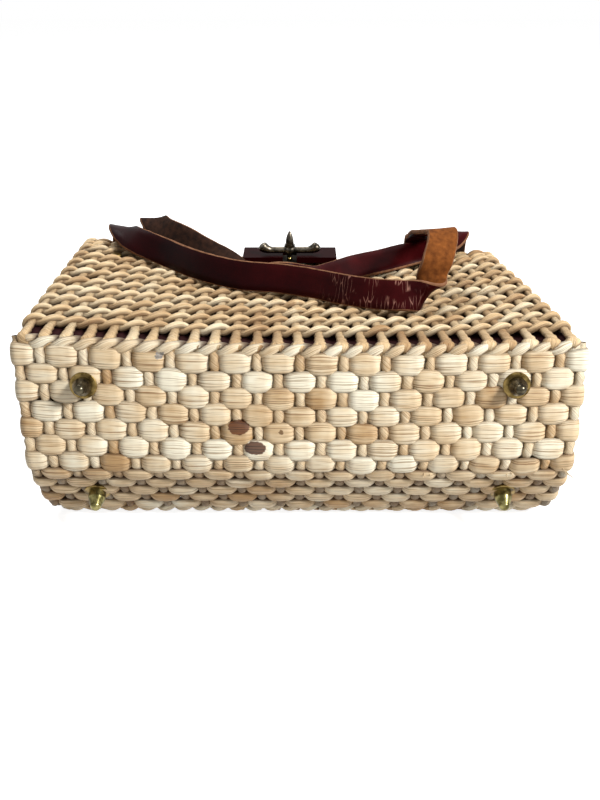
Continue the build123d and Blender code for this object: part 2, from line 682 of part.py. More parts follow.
def main():
    save("woven_body", woven_body())
    save("lining", lining())
    for name, (x, run) in FOOT_NAMES.items():
        plane = base_plane(x, run)
        save(f"{name}_foot_stud", plane * foot_stud())
        save(f"{name}_foot_washer", plane * disc(WASHER_RADIUS, WASHER, SHANK_RADIUS + SHANK_ROOM))
        backing = Pos(0, 0, INNER_FACE - BACKING) * disc(BACKING_RADIUS, BACKING, SHANK_RADIUS + SHANK_ROOM)
        save(f"{name}_foot_backing", plane * backing)
    handle_holes = [hole(frame, RIVET_RADIUS + RIVET_ROOM) for frame in HANDLE_RIVETS.values()]
    save("front_handle", strap(front_handle_route()) - handle_holes[:2])
    save("back_handle", strap(back_handle_route()) - handle_holes[2:])
    for name, frame in HANDLE_RIVETS.items():
        save(f"{name}_handle_rivet", frame * rivet(WALL_GRIP + STRAP))
    tab_holes = [hole(frame, RIVET_RADIUS + RIVET_ROOM) for frame in TAB_RIVETS]
    save("closure_tab", closure_tab() - tab_holes)
    save("tab_rivets", Compound([frame * rivet(WALL_GRIP + TAB) for frame in TAB_RIVETS]))
    save("clasp_plate", clasp_at(PLATE_Z) * disc(PLATE_RADIUS, PLATE, POST_RADIUS + SHANK_ROOM))
    backing = disc(CLASP_BACKING_RADIUS, CLASP_BACKING, POST_RADIUS + SHANK_ROOM)
    save("clasp_backing", clasp_at(BACKING_Z) * backing)
    save("clasp_post", clasp_post())
    save("clasp_toggle", clasp_toggle())
    save("clasp_finial", clasp_finial())


main()
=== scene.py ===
import math

import bpy
import numpy as np
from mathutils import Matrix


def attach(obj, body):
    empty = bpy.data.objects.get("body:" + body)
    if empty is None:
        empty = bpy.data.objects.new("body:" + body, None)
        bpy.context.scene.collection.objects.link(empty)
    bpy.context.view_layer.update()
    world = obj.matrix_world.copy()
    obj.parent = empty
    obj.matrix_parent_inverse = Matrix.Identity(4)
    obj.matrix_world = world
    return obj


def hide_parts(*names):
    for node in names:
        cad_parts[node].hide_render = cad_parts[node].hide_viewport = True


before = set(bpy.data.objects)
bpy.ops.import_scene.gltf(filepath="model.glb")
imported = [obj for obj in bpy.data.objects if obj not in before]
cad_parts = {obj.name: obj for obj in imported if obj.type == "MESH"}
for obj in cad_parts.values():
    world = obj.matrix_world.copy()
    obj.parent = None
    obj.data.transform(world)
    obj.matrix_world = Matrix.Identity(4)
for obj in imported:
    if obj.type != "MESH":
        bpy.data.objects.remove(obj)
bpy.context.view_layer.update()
rng = np.random.default_rng(11)

# Form of the body, in metres, as in the solids
WIDTH = 0.330
DEPTH = 0.129
BASE_BACK_SHARE = 0.957
MOUTH_FRONT_SHARE = 0.908
MOUTH_BACK_SHARE = 0.895
MOUTH_SHIFT = -0.008
FOLD_LEAD = 0.012
BASE_LEAN = 0.002
MOUTH_LEAN = 0.005
BASE_SAG = 0.005
MOUTH_SAG = 0.013
CORNER_RADIUS = 0.009
CREASE_OUT = 0.028
CREASE_UP = 0.051
CREASE_RADIUS = 0.029
FOLD_Y = -0.090
RIM_Y = 0.0825
ROW_PITCH = 0.0165
HEIGHT = RIM_Y - FOLD_Y
FRONT_RIM_Y = RIM_Y - FOLD_LEAD
SLOPE = FOLD_LEAD / DEPTH
HALF_MOUTH = WIDTH * MOUTH_FRONT_SHARE / 2

# Strands of the walls
STAKES = 72  # round the body
STEPS = 8  # samples from stake to stake
LEVELS = 60  # of the walls, from base to rim
FOLD_LEVEL = 20  # gives a stake's place along the fold
EDGE_SHADE = 0.78  # how far painted shade darkens a strand's flank
EDGE_FROM = 0.70  # height on the flank, as a sine, where that starts
EDGE_REACH = 0.66
STAKE_INSET = 0.0038  # middle of the stakes below the crests
STAKE_WIDTH = 0.0054
STAKE_JITTER_SHARE = 0.05
STAKE_THICKNESS = 0.0034
STAKE_TWIST = 520.0  # radians a metre
STAKE_LOBE_SHARE = 0.10  # how far its section is from round
STAKE_SAMPLE = 0.0015
STAKE_DRIFT = 0.0004  # wander to the sides
STAKE_STOP = 0.0015  # its end below the rim
STAKE_ROOT = 0.010  # its start on the base, in from the fold
ROOT_DROP = 0.0010  # and below the wefts there
STAKE_EDGE = 0.0048  # where it comes out of the base, in from the fold
EDGE_RISE = 0.0008
WALL_START = 0.0042  # where it is straight again, past the fold
FOLD_SWELL_SHARE = 0.35  # wider where it turns over the fold
BEND_STEPS = 9
FOLD_SAMPLES = 14  # samples of that turn
STAKE_TONE = 0.42  # mean shade, pale at 1
STAKE_TONE_SPREAD = 0.14  # from stake to stake
STAKE_TONE_WANDER = 0.06  # along a stake
STAKE_SHADE = 0.32  # on the walls, where the rows shade it
SIDE_WAY = 0.5  # stakes that face further along X belong to a side wall
CROSS_NUDGE = 0.01  # keeps a cross product from vanishing
TWINE_LIFT = 0.0022  # swing of a strand in and out
TWINE_THICKNESS = 0.0038
TWINE_JITTER_SHARE = 0.06
TONE_SPREAD = 0.22
SHADE_START = 0.25
SQUARENESS = 2.3  # of a strand's section, round at 2
# A power below 1 crosses in a shorter run, back_share of the swing goes towards the lining
# shade and slope paint shade on a strand where it swings back behind a stake
WALL_TWINE = {"width": 0.0052, "sway": 0.0024, "power": 0.8, "back_share": 0.40, "swell_share": 0.13,
              "tone": 0.5, "spread": TONE_SPREAD, "shade": 0.85, "slope": 0.6}
BORDER_TWINE = {"width": 0.0052, "sway": 0.0021, "power": 0.6, "back_share": 1, "swell_share": 0.2,
                "tone": 0.55, "spread": 0.2, "shade": 0.97, "slope": 0.8}
ROW_DRIFT = 0.0005  # wander of a row along the wall
ROWS = [row * ROW_PITCH for row in range(-4, 5)]
LOWER_WALL_ROWS = 5
RIM_ROW_DROPS = (0.0095, 0.0035)
RIM_ROWS = [RIM_Y - drop for drop in RIM_ROW_DROPS]

# Borders along the folds of the base
BORDER_INSET = 0.0062  # in from the edge
BORDER_STAKES = 27
BORDER_STOP = 0.007  # ends in from the sides
BORDER_TURN = 0.005  # run over which an end goes down
BORDER_DROP = 0.003
BORDER_TAPER_SHARE = 0.4

# Strands of the base
WEFT_ROWS = 12
LOWER_ROWS = 5  # rows below the crease, set closer
LOWER_PITCH_SHARE = 0.92  # of the mean pitch
BASE_STAKES = 25
BASE_BORDER = 0.0085
BASE_END = 0.005  # outermost stakes in from the edges
WEFT_INSET = 0.0036  # mean of the wefts below the crests
WEFT_LIFT = 0.0025
WEFT_BOW = 0.0006  # further down under a stake
WEFT_RISE_FROM_SHARE = 0.04
WEFT_RISE_SHARE = 0.56  # of the way from stake to stake, spent rising
WEFT_DRIFT = 0.0004
# Widths beside a stake and over it, as shares of the pitch; LENS is the form of the rows below the crease
WEFT = {"end_share": 0.72, "middle_share": 1.28, "thickness": 0.0042, "tone": 0.55, "edge": EDGE_SHADE}
# In LENS the lower tone and stronger edge are painted shade on the rows below the crease; edge is painted
# shade on a strand's flank
LENS = {"end_share": 0.42, "middle_share": 1.14, "thickness": 0.0052, "tone": 0.40, "edge": 0.94}
WEFT_JITTER_SHARE = 0.05
WEFT_SHADE = 0.9  # where a weft goes under a stake
WEFT_SHADE_SHARE = 0.36  # of the way from stake to stake
WEFT_FADE_SHARE = 0.20
WEFT_TURN = 0.0030  # radius of the wefts round the edges of the base
WEFT_END_SHADE = 0.25
BASE_STAKE_WIDTH = 0.0056
BASE_STAKE_JITTER_SHARE = 0.06
BASE_STAKE_THICKNESS = 0.0040
BASE_STAKE_LIFT = 0.0018
BASE_STAKE_RISE = 0.0004  # middle of its swing above that of the wefts
BASE_STAKE_DRIFT = 0.0003
BASE_STAKE_STOP = 0.004  # ends in from the folds
BASE_STAKE_TONE = 0.50
BASE_TONE_SPREAD = 0.12
BASE_TONE_WANDER = 0.08
UNDER_SHADE = 0.6  # of a stake under a weft
LOWER_SHADE = 0.7  # of the stakes below the crease
STAKE_TUCK = 0.0022  # ends of the base's stakes go under its borders
TUCK_FROM = 0.011
TUCK_REACH = 0.005

# Straps
STRAP_WIDTH = 0.019
STRAP = 0.003  # thickness
STRAP_BEVEL = 0.0006
STRAP_OVERLAP = 0.034
STRAP_SAMPLE = 0.0015
STRAP_ROUGH_SHARE = 0.006  # unevenness of the cut edges
FOLD_RADIUS = 0.005  # of the front strap's diagonal fold
CLEARANCE = 0.0003
INNER_STACK = 0.0072  # wall and lining under a strap, with clearances
TURN_STEPS = 4
FOLD_STEPS = 8


def blend(start, end, share):
    return start + (end - start) * share


def smooth(share):
    share = np.clip(share, 0, 1)
    return share * share * (3 - 2 * share)


def unit(vectors):
    vectors = np.asarray(vectors, dtype=float)
    return vectors / np.linalg.norm(vectors, axis=-1, keepdims=True)


def height_share(y):
    return (y - FOLD_Y) / HEIGHT


def corner_radius(inset):
    least = 0.0015
    return max(CORNER_RADIUS - inset, least)


# Closed outlines

def round_corner(before, corner, after, radius, steps):
    """Points of the arc that rounds a corner between two others."""
    before = unit(before - corner)
    after = unit(after - corner)
    half = math.acos(before @ after) / 2
    middle = corner + unit(before + after) * (radius / math.sin(half))
    first = corner + before * (radius / math.tan(half)) - middle
    last = corner + after * (radius / math.tan(half)) - middle
    turn = math.pi - 2 * half
    points = []
    for step in range(steps + 1):
        share = step / steps
        arm = first * math.sin((1 - share) * turn) + last * math.sin(share * turn)
        points.append(middle + arm / math.sin(turn))
    return points


def rounded_loop(corners, radius):
    """Corners joined by straight sides and arcs, from the middle of the last side round to it again."""
    arc_steps = 10
    corners = [np.array(corner) for corner in corners]
    start = (corners[-1] + corners[0]) / 2
    points = [start]
    for index, corner in enumerate(corners):
        after = corners[(index + 1) % len(corners)]
        points += round_corner(corners[index - 1], corner, after, radius, arc_steps)
    points.append(start)
    return np.array(points)


def run_lengths(points):
    """Length of a line up to each of its points."""
    return np.concatenate([[0], np.cumsum(np.linalg.norm(np.diff(points, axis=0), axis=1))])


def along_line(run, runs, points):
    return np.stack([np.interp(run, runs, column) for column in points.T], axis=-1)


def along_loop(loop, shares):
    """Points and directions at shares of a closed loop's length."""
    lengths = run_lengths(loop)

    def at(places):
        return along_line((places % 1) * lengths[-1], lengths, loop)

    step_share = 0.002
    shares = np.asarray(shares)
    return at(shares), unit(at(shares + step_share) - at(shares - step_share))


def front_form(share):
    """Half width, lean and sag of the front at a share of the height."""
    half = WIDTH * blend(1, MOUTH_FRONT_SHARE, share) / 2
    return half, blend(BASE_LEAN, MOUTH_LEAN, share), blend(BASE_SAG, MOUTH_SAG, share)


def wall_ring(y, inset, shares):
    """Points of one row of the body, from the middle of the front to +X, and their outward directions."""
    share = height_share(y)
    centre = MOUTH_SHIFT * share
    half, lean, sag = front_form(share)
    front = half - inset
    back = WIDTH * blend(BASE_BACK_SHARE, MOUTH_BACK_SHARE, share) / 2 - inset
    top = DEPTH - inset
    corners = [
        (centre + front, top - lean),
        (centre + back, inset),
        (centre - back, inset),
        (centre - front, top + lean),
    ]
    fine = np.linspace(0, 1, 600)
    loop = along_loop(rounded_loop(corners, corner_radius(inset)), fine)[0]
    across = (loop[:, 0] - centre) / front
    loop[:, 1] -= sag * (1 - across ** 2) * smooth(2 * loop[:, 1] / top - 1)
    points, along = along_loop(loop, shares)
    places = np.stack([points[:, 0], y - points[:, 1] * SLOPE, points[:, 1]], axis=-1)
    out = np.stack([-along[:, 1], np.zeros(len(along)), along[:, 0]], axis=-1)
    return places, out


def front_height(x, y):
    share = height_share(y + FOLD_LEAD)
    half, lean, sag = front_form(share)
    across = (x - MOUTH_SHIFT * share) / half
    return DEPTH - lean * across - sag * (1 - across * across)


# Profile of the base, from the back fold to the front fold

def base_profile():
    arc_steps = 16
    back_fold = np.array([FOLD_Y, 0])
    crease = np.array([FOLD_Y - CREASE_OUT, CREASE_UP])
    front_fold = np.array([FOLD_Y - FOLD_LEAD, DEPTH])
    arc = round_corner(back_fold, crease, front_fold, CREASE_RADIUS, arc_steps)
    return np.array([back_fold, *arc, front_fold])


PROFILE = base_profile()
PROFILE_RUNS = run_lengths(PROFILE)
BASE_LENGTH = PROFILE_RUNS[-1]


def profile_at(run):
    return along_line(run, PROFILE_RUNS, PROFILE)


def base_width(run):
    return WIDTH * blend(BASE_BACK_SHARE, 1, profile_at(run)[..., 1] / DEPTH)


def base_point(x, run, depth):
    """Points below the crests of the base, at x and a run along its profile, and outward directions."""
    across = x / (base_width(run) / 2)
    drop = BASE_LEAN * across + BASE_SAG * (1 - across ** 2)
    run = np.clip(run - drop * run / BASE_LENGTH, 0, BASE_LENGTH)
    step = 0.003
    place = profile_at(run)
    along = unit(profile_at(run + step) - profile_at(run - step))
    out = np.stack([np.zeros_like(run), -along[:, 1], along[:, 0]], axis=-1)
    points = np.stack([x, place[:, 0], place[:, 1]], axis=-1)
    return points - out * np.reshape(depth, (-1, 1)), out


# Meshes made of many strands

def grid_quads(rows, count, sides):
    """Rows, sides and corners of quads closed round the sides, and round the rows if rows is count."""
    row, side = np.meshgrid(np.arange(rows), np.arange(sides), indexing="ij")
    next_row = (row + 1) % count
    next_side = (side + 1) % sides
    corners = ((row, side), (row, next_side), (next_row, next_side), (next_row, side))
    return row, side, np.stack([first * sides + second for first, second in corners], axis=-1).reshape(-1, 4)


class Strands:
    """Collects tubes with a width, a thickness, a shade and a painted shadow, and makes one mesh of them."""

    def __init__(self):
        self.parts = []
        self.count = 0

    def add(self, centres, out, widths, heights, shade, closed=False, twist=0.0, lobes=0.0, square=2.0,
            sides=10, deep=0.0, edge=EDGE_SHADE):
        number = len(centres)
        if closed:
            along = unit(np.roll(centres, -1, axis=0) - np.roll(centres, 1, axis=0))
        else:
            along = unit(np.gradient(centres, axis=0))
        out = unit(out - along * np.sum(out * along, axis=1, keepdims=True))
        across = np.cross(out, along)
        runs = run_lengths(np.append(centres, centres[:1], axis=0))
        angles = -math.pi / 2 + 2 * math.pi * np.arange(sides) / sides
        cosines = np.sign(np.cos(angles)) * np.abs(np.cos(angles)) ** (2 / square)
        sines = np.sign(np.sin(angles)) * np.abs(np.sin(angles)) ** (2 / square)
        swell = 1 + lobes * np.cos(2 * (angles[None, :] - twist * runs[:number, None]))
        reach_across = np.reshape(widths, (-1, 1)) / 2 * cosines[None, :] * swell
        reach_out = np.reshape(heights, (-1, 1)) / 2 * sines[None, :] * swell
        points = centres[:, None, :] + across[:, None, :] * reach_across[..., None]
        points = points + out[:, None, :] * reach_out[..., None]
        ring, side, quads = grid_quads(number if closed else number - 1, number, sides)
        start = rng.uniform(0, 5)
        turns = twist / (2 * math.pi)
        low, high = runs[ring], runs[ring + 1]
        corners = ((low, side), (low, side + 1), (high, side + 1), (high, side))
        uvs = [np.stack([start + run, place / sides + turns * run], axis=-1) for run, place in corners]
        tint_and_shade = np.zeros((number, sides, 4))
        tint_and_shade[..., 0] = np.reshape(shade, (-1, 1))
        # Blue of the tint: painted shade on the sides and underside of each strand, and where it goes behind
        # or under others
        flank_shade = edge * smooth((EDGE_FROM - np.sin(angles)) / EDGE_REACH)
        tint_and_shade[..., 2] = np.maximum(flank_shade[None, :], np.reshape(deep, (-1, 1)))
        tint_and_shade[..., 3] = 1
        uvs = np.stack(uvs, axis=2).reshape(-1, 2)
        self.parts.append((points.reshape(-1, 3), quads + self.count, uvs, tint_and_shade.reshape(-1, 4)))
        self.count += number * sides

    def build(self, name, material):
        return grid_object(name, *map(np.concatenate, zip(*self.parts)), [material])


def grid_object(name, points, quads, uvs, tints, materials, slots=None):
    """A smooth mesh of quads with a map named strand and a colour named tint."""
    mesh = bpy.data.meshes.new(name)
    mesh.vertices.add(len(points))
    mesh.vertices.foreach_set("co", points.ravel())
    mesh.loops.add(quads.size)
    mesh.loops.foreach_set("vertex_index", quads.ravel())
    mesh.polygons.add(len(quads))
    mesh.polygons.foreach_set("loop_start", np.arange(len(quads)) * 4)
    mesh.polygons.foreach_set("loop_total", np.full(len(quads), 4))
    mesh.polygons.foreach_set("use_smooth", np.ones(len(quads), dtype=bool))
    for material in materials:
        mesh.materials.append(material)
    if slots is not None:
        mesh.polygons.foreach_set("material_index", slots)
    mesh.update(calc_edges=True)
    layer = mesh.uv_layers.new(name="strand")
    layer.data.foreach_set("uv", uvs.ravel())
    colour = mesh.color_attributes.new("tint_and_shade", "FLOAT_COLOR", "POINT")
    colour.data.foreach_set("color", tints.ravel())
    obj = bpy.data.objects.new(name, mesh)
    bpy.context.collection.objects.link(obj)
    return obj


def wander(count, spacing, size, joined=0):
    """Smooth random numbers, a new one each spacing samples, led back to the first over those joined."""
    knots = rng.normal(0, size, count // spacing + 3)
    values = np.interp(np.arange(count) / spacing, np.arange(len(knots)), knots)
    if joined:
        values[-joined:] = np.linspace(values[-joined], values[0], joined)
    return values


# Materials

STRAW_BUMP = 0.0008  # heights of the fine relief
LEATHER_BUMP = 0.0004
SUEDE_BUMP = 0.0006
METAL_BUMP = 0.0003


def new_material(name, colour, roughness, gloss=0.5, metallic=0.0):
    material = bpy.data.materials.new(name)
    material.use_nodes = True
    shader = material.node_tree.nodes["Principled BSDF"]
    shader.inputs["Base Color"].default_value = (*colour, 1)
    shader.inputs["Roughness"].default_value = roughness
    shader.inputs["Specular IOR Level"].default_value = gloss
    shader.inputs["Metallic"].default_value = metallic
    return material, material.node_tree, shader


def node(tree, kind, settings=None, inputs=None):
    made = tree.nodes.new(kind)
    for key, value in (settings or {}).items():
        setattr(made, key, value)
    for key, value in (inputs or {}).items():
        made.inputs[key].default_value = value
    return made


def noise_on(tree, vector, scales, detail=3.0):
    """Noise of a vector output stretched by scales."""
    mapping = node(tree, "ShaderNodeMapping", inputs={"Scale": scales})
    tree.links.new(vector, mapping.inputs["Vector"])
    noise = node(tree, "ShaderNodeTexNoise", inputs={"Scale": 1.0, "Detail": detail})
    tree.links.new(mapping.outputs["Vector"], noise.inputs["Vector"])
    return noise.outputs["Fac"]


def ramp(tree, factor, stops):
    """Colours or greys at shares of a factor."""
    made = node(tree, "ShaderNodeValToRGB")
    elements = made.color_ramp.elements
    while len(elements) < len(stops):
        elements.new(0.5)
    for element, (place, colour) in zip(elements, stops):
        element.position = place
        element.color = (*colour, 1)
    tree.links.new(factor, made.inputs["Fac"])
    return made.outputs["Color"]


def maths(tree, operation, first, second):
    made = node(tree, "ShaderNodeMath", {"operation": operation})
    for index, value in enumerate((first, second)):
        if isinstance(value, (int, float)):
            made.inputs[index].default_value = value
        else:
            tree.links.new(value, made.inputs[index])
    return made.outputs["Value"]


def mix(tree, factor, first, second, blend_type="MIX"):
    made = node(tree, "ShaderNodeMix", {"data_type": "RGBA", "blend_type": blend_type})
    for socket, value in ((made.inputs[0], factor), (made.inputs[6], first), (made.inputs[7], second)):
        if isinstance(value, (int, float)):
            socket.default_value = value
        elif isinstance(value, tuple):
            socket.default_value = (*value, 1)
        else:
            tree.links.new(value, socket)
    return made.outputs[2]


def strand_map(tree):
    return node(tree, "ShaderNodeUVMap", {"uv_map": "strand"}).outputs["UV"]


def tint_parts(tree):
    """The red, green and blue of the colour named tint."""
    tint_and_shade = node(tree, "ShaderNodeAttribute", {"attribute_name": "tint_and_shade"})
    parts = node(tree, "ShaderNodeSeparateColor")
    tree.links.new(tint_and_shade.outputs["Color"], parts.inputs["Color"])
    return parts.outputs


def bump(tree, shader, height, strength, distance):
    made = node(tree, "ShaderNodeBump", inputs={"Strength": strength, "Distance": distance})
    tree.links.new(height, made.inputs["Height"])
    tree.links.new(made.outputs["Normal"], shader.inputs["Normal"])


# Stains of the base: centre, radii, raggedness, and colours of their dark and pale fibres
STAINS = [
    ((-0.0351, -0.1140, 0.0754), (0.0080, 0.0120, 0.0056), 0.35,
     (0.030, 0.007, 0.001), (0.15, 0.042, 0.008)),
    ((-0.0260, -0.1160, 0.0630), (0.0080, 0.0120, 0.0050), 0.35,
     (0.022, 0.005, 0.001), (0.11, 0.028, 0.006)),
    ((-0.0109, -0.1140, 0.0725), (0.0026, 0.0120, 0.0022), 0.80,
     (0.10, 0.050, 0.02), (0.24, 0.13, 0.05)),
    ((-0.0788, -0.1040, 0.1165), (0.0050, 0.0120, 0.0056), 1.20,
     (0.10, 0.095, 0.09), (0.42, 0.38, 0.34)),
]


def spot(tree, place, centre, radii, ragged):
    """Where a stain with a ragged edge lies, round a place on the object."""
    scales = tuple(1 / radius for radius in radii)
    offset = tuple(-way / radius for way, radius in zip(centre, radii))
    mapping = node(tree, "ShaderNodeMapping", inputs={"Scale": scales, "Location": offset})
    tree.links.new(place, mapping.inputs["Vector"])
    length = node(tree, "ShaderNodeVectorMath", {"operation": "LENGTH"})
    tree.links.new(mapping.outputs["Vector"], length.inputs[0])
    edge = maths(tree, "MULTIPLY", noise_on(tree, place, (500, 500, 900), 3), ragged)
    reach = maths(tree, "ADD", length.outputs["Value"], edge)
    return ramp(tree, reach, [(0.92, (0.94, 0.94, 0.94)), (1.0, (0, 0, 0))])


def straw_material(name, dark, middle, pale):
    """Dry rush: fibres along each strand, shades from strand to strand, painted shade in the depths, and
    stains.
    """
    material, tree, shader = new_material(name, middle, 0.55, 0.35)
    strand = strand_map(tree)
    place = node(tree, "ShaderNodeTexCoord").outputs["Object"]
    tint_and_shade = tint_parts(tree)
    streaks = noise_on(tree, strand, (45, 13, 1), 4)
    threads = noise_on(tree, strand, (26, 56, 1), 3)
    patches = noise_on(tree, place, (70, 70, 70), 2)
    tone = maths(tree, "MULTIPLY", tint_and_shade["Red"], 0.55)
    tone = maths(tree, "ADD", tone, maths(tree, "MULTIPLY", streaks, 0.45))
    tone = maths(tree, "ADD", tone, maths(tree, "MULTIPLY", maths(tree, "SUBTRACT", patches, 0.5), 0.35))
    colour = ramp(tree, tone, [(0.24, dark), (0.48, middle), (0.74, pale)])
    lines = ramp(tree, threads, [(0.36, (0.34, 0.22, 0.12)), (0.48, (1, 1, 1))])
    colour = mix(tree, 0.85, colour, lines, "MULTIPLY")
    # Painted shade: the blue of the tint darkens the straw to brown in the depths
    colour = mix(tree, tint_and_shade["Blue"], colour, (0.06, 0.026, 0.009))
    for centre, radii, ragged, low, high in STAINS:
        stain = ramp(tree, threads, [(0.38, low), (0.62, high)])
        colour = mix(tree, spot(tree, place, centre, radii, ragged), colour, stain)
    tree.links.new(colour, shader.inputs["Base Color"])
    bump(tree, shader, threads, 0.55, STRAW_BUMP)
    return material


def leather_material(name, gloss):
    """Oxblood grain, redder by the red of tint and in painted shade where that red is low, with fine cracks
    by its green.
    """
    material, tree, shader = new_material(name, (0.020, 0.0010, 0.0015), 0.34, gloss)
    strand = strand_map(tree)
    tint_and_shade = tint_parts(tree)
    mottle = noise_on(tree, strand, (60, 60, 1), 4)
    # dark is the leather in painted shade, red the leather out of it
    dark = ramp(tree, mottle, [(0.30, (0.007, 0.0004, 0.0006)), (0.70, (0.018, 0.0008, 0.0012))])
    red = ramp(tree, mottle, [(0.30, (0.018, 0.0008, 0.0011)), (0.70, (0.046, 0.0032, 0.0038))])
    colour = mix(tree, tint_and_shade["Red"], dark, red)
    mapping = node(tree, "ShaderNodeMapping", inputs={"Scale": (420, 62, 1), "Rotation": (0, 0, 0.06)})
    warp = node(tree, "ShaderNodeTexNoise", inputs={"Scale": 160.0, "Detail": 3.0})
    tree.links.new(strand, warp.inputs["Vector"])
    shifted = mix(tree, 0.0014, strand, warp.outputs["Color"], "ADD")
    tree.links.new(shifted, mapping.inputs["Vector"])
    cells = node(tree, "ShaderNodeTexVoronoi", {"feature": "DISTANCE_TO_EDGE"}, {"Scale": 1.0})
    tree.links.new(mapping.outputs["Vector"], cells.inputs["Vector"])
    crack = ramp(tree, cells.outputs["Distance"], [(0.0, (0.9, 0.9, 0.9)), (0.05, (0, 0, 0))])
    gate = ramp(tree, noise_on(tree, strand, (110, 90, 1), 2), [(0.46, (0, 0, 0)), (0.56, (1, 1, 1))])
    crack = maths(tree, "MULTIPLY", maths(tree, "MULTIPLY", crack, gate), tint_and_shade["Green"])
    colour = mix(tree, crack, colour, (0.36, 0.17, 0.13))
    tree.links.new(colour, shader.inputs["Base Color"])
    bump(tree, shader, noise_on(tree, strand, (900, 900, 1), 3), 0.12, LEATHER_BUMP)
    return material


def suede_material(name, dark, pale):
    """A dull surface with a nap: suede, cut leather, cloth or tarnished metal."""
    material, tree, shader = new_material(name, dark, 0.95, 0.15)
    nap = noise_on(tree, strand_map(tree), (260, 260, 1), 6)
    tree.links.new(ramp(tree, nap, [(0.28, dark), (0.72, pale)]), shader.inputs["Base Color"])
    bump(tree, shader, nap, 0.35, SUEDE_BUMP)
    return material


def metal_material(name, dark, pale, roughness):
    """Old metal, darker where it has tarnished."""
    material, tree, shader = new_material(name, pale, roughness, metallic=1.0)
    place = node(tree, "ShaderNodeTexCoord").outputs["Object"]
    tarnish = noise_on(tree, place, (260, 260, 260), 4)
    tree.links.new(ramp(tree, tarnish, [(0.38, dark), (0.62, pale)]), shader.inputs["Base Color"])
    bump(tree, shader, tarnish, 0.10, METAL_BUMP)
    return material


wall_straw = straw_material("wall_straw", (0.42, 0.25, 0.11), (0.70, 0.50, 0.27), (0.93, 0.80, 0.55))
base_straw = straw_material("base_straw", (0.50, 0.31, 0.14), (0.76, 0.59, 0.37), (0.95, 0.88, 0.69))
grain = leather_material("strap_grain", 0.05)
tab_grain = leather_material("tab_grain", 0.01)
suede = suede_material("strap_suede", (0.095, 0.026, 0.0045), (0.25, 0.078, 0.015))
# A darker copy of the suede: painted shade on the back strap's suede side
painted_shade_suede = suede_material("strap_painted_shade_suede", (0.006, 0.0024, 0.0014), (0.040, 0.016, 0.0085))
raw_edge = suede_material("strap_edge", (0.12, 0.052, 0.025), (0.30, 0.145, 0.075))
lining_cloth = suede_material("lining_cloth", (0.020, 0.0045, 0.0050), (0.040, 0.010, 0.010))
bronze = metal_material("clasp_bronze", (0.030, 0.026, 0.020), (0.13, 0.112, 0.085), 0.30)
tarnish = suede_material("clasp_tarnish", (0.008, 0.0065, 0.005), (0.022, 0.018, 0.012))
# The stud metal darkened: painted shade on the front studs
shaded_stud_metal = metal_material("foot_metal", (0.022, 0.018, 0.011), (0.10, 0.085, 0.055), 0.24)
old_brass = metal_material("old_brass", (0.060, 0.038, 0.011), (0.26, 0.18, 0.062), 0.36)
bright_brass = metal_material("bright_brass", (0.35, 0.23, 0.06), (0.62, 0.45, 0.15), 0.25)
# The same stud metal, brighter and greener: painted light on the back studs
lit_stud_brass = metal_material("lit_stud_brass", (0.085, 0.072, 0.024), (0.30, 0.265, 0.11), 0.28)


# Woven walls

RING_SHARES = np.arange(STAKES * STEPS) / (STAKES * STEPS)
STAKE_SHARES = np.arange(STAKES) / STAKES
ALONG_WALL = np.array([0.0, 1.0, 0.0])
FLAT = np.array([1.0, 0.0, 0.0])


def twine(strands, ring, out, side, width, sway, power, back_share, swell_share, tone, spread, shade, slope,
          closed=False, taper=1.0):
    """Two strands that cross between stakes, in front of each stake in turn."""
    number = len(ring)
    stake = np.arange(number) / STEPS
    wave = np.cos(math.pi * stake)
    for hand in (1, -1):
        swing = hand * np.sign(wave) * np.abs(wave) ** power
        jitter = (1 + wander(number, STEPS * 2, TWINE_JITTER_SHARE, STEPS * 3 if closed else 0)) * taper
        sideways = hand * sway * np.sin(math.pi * stake) * (jitter if closed else 1)
        centres = ring + out * (TWINE_LIFT * np.maximum(swing, -back_share))[:, None]
        centres = centres + side * sideways[:, None]
        widths = width * jitter * (1 + swell_share * np.cos(2 * math.pi * stake))
        tones = tone + wander(number, STEPS * 2, spread)
        # Painted shade where the strand swings back behind a stake
        deep = shade * smooth(SHADE_START - swing * slope)
        heights = TWINE_THICKNESS * jitter
        strands.add(centres, out, widths, heights, tones, closed, square=SQUARENESS, deep=deep)


def twined_rows(name, rows):
    strands = Strands()
    for y in rows:
        ring, out = wall_ring(y, STAKE_INSET, RING_SHARES)
        drift = wander(len(ring), STEPS * 5, ROW_DRIFT, STEPS * 8)
        twine(strands, ring + ALONG_WALL * drift[:, None], out, ALONG_WALL, **WALL_TWINE, closed=True)
    return strands.build(name, wall_straw)


def wall_grid(top, inset, shares, count):
    """Rings of the body at levels up to a top, and their outward directions."""
    levels = np.linspace(FOLD_Y - CREASE_OUT, top, count)
    rings = [wall_ring(y, inset, shares) for y in levels]
    return levels, np.array([ring for ring, _ in rings]), np.array([out for _, out in rings])


def wall_start(wall_z, past):
    """Places along the bag, at heights on its walls, that lie a length past the base."""
    return np.interp(wall_z, PROFILE[:, 1], PROFILE[:, 0]) + wall_z * SLOPE + past


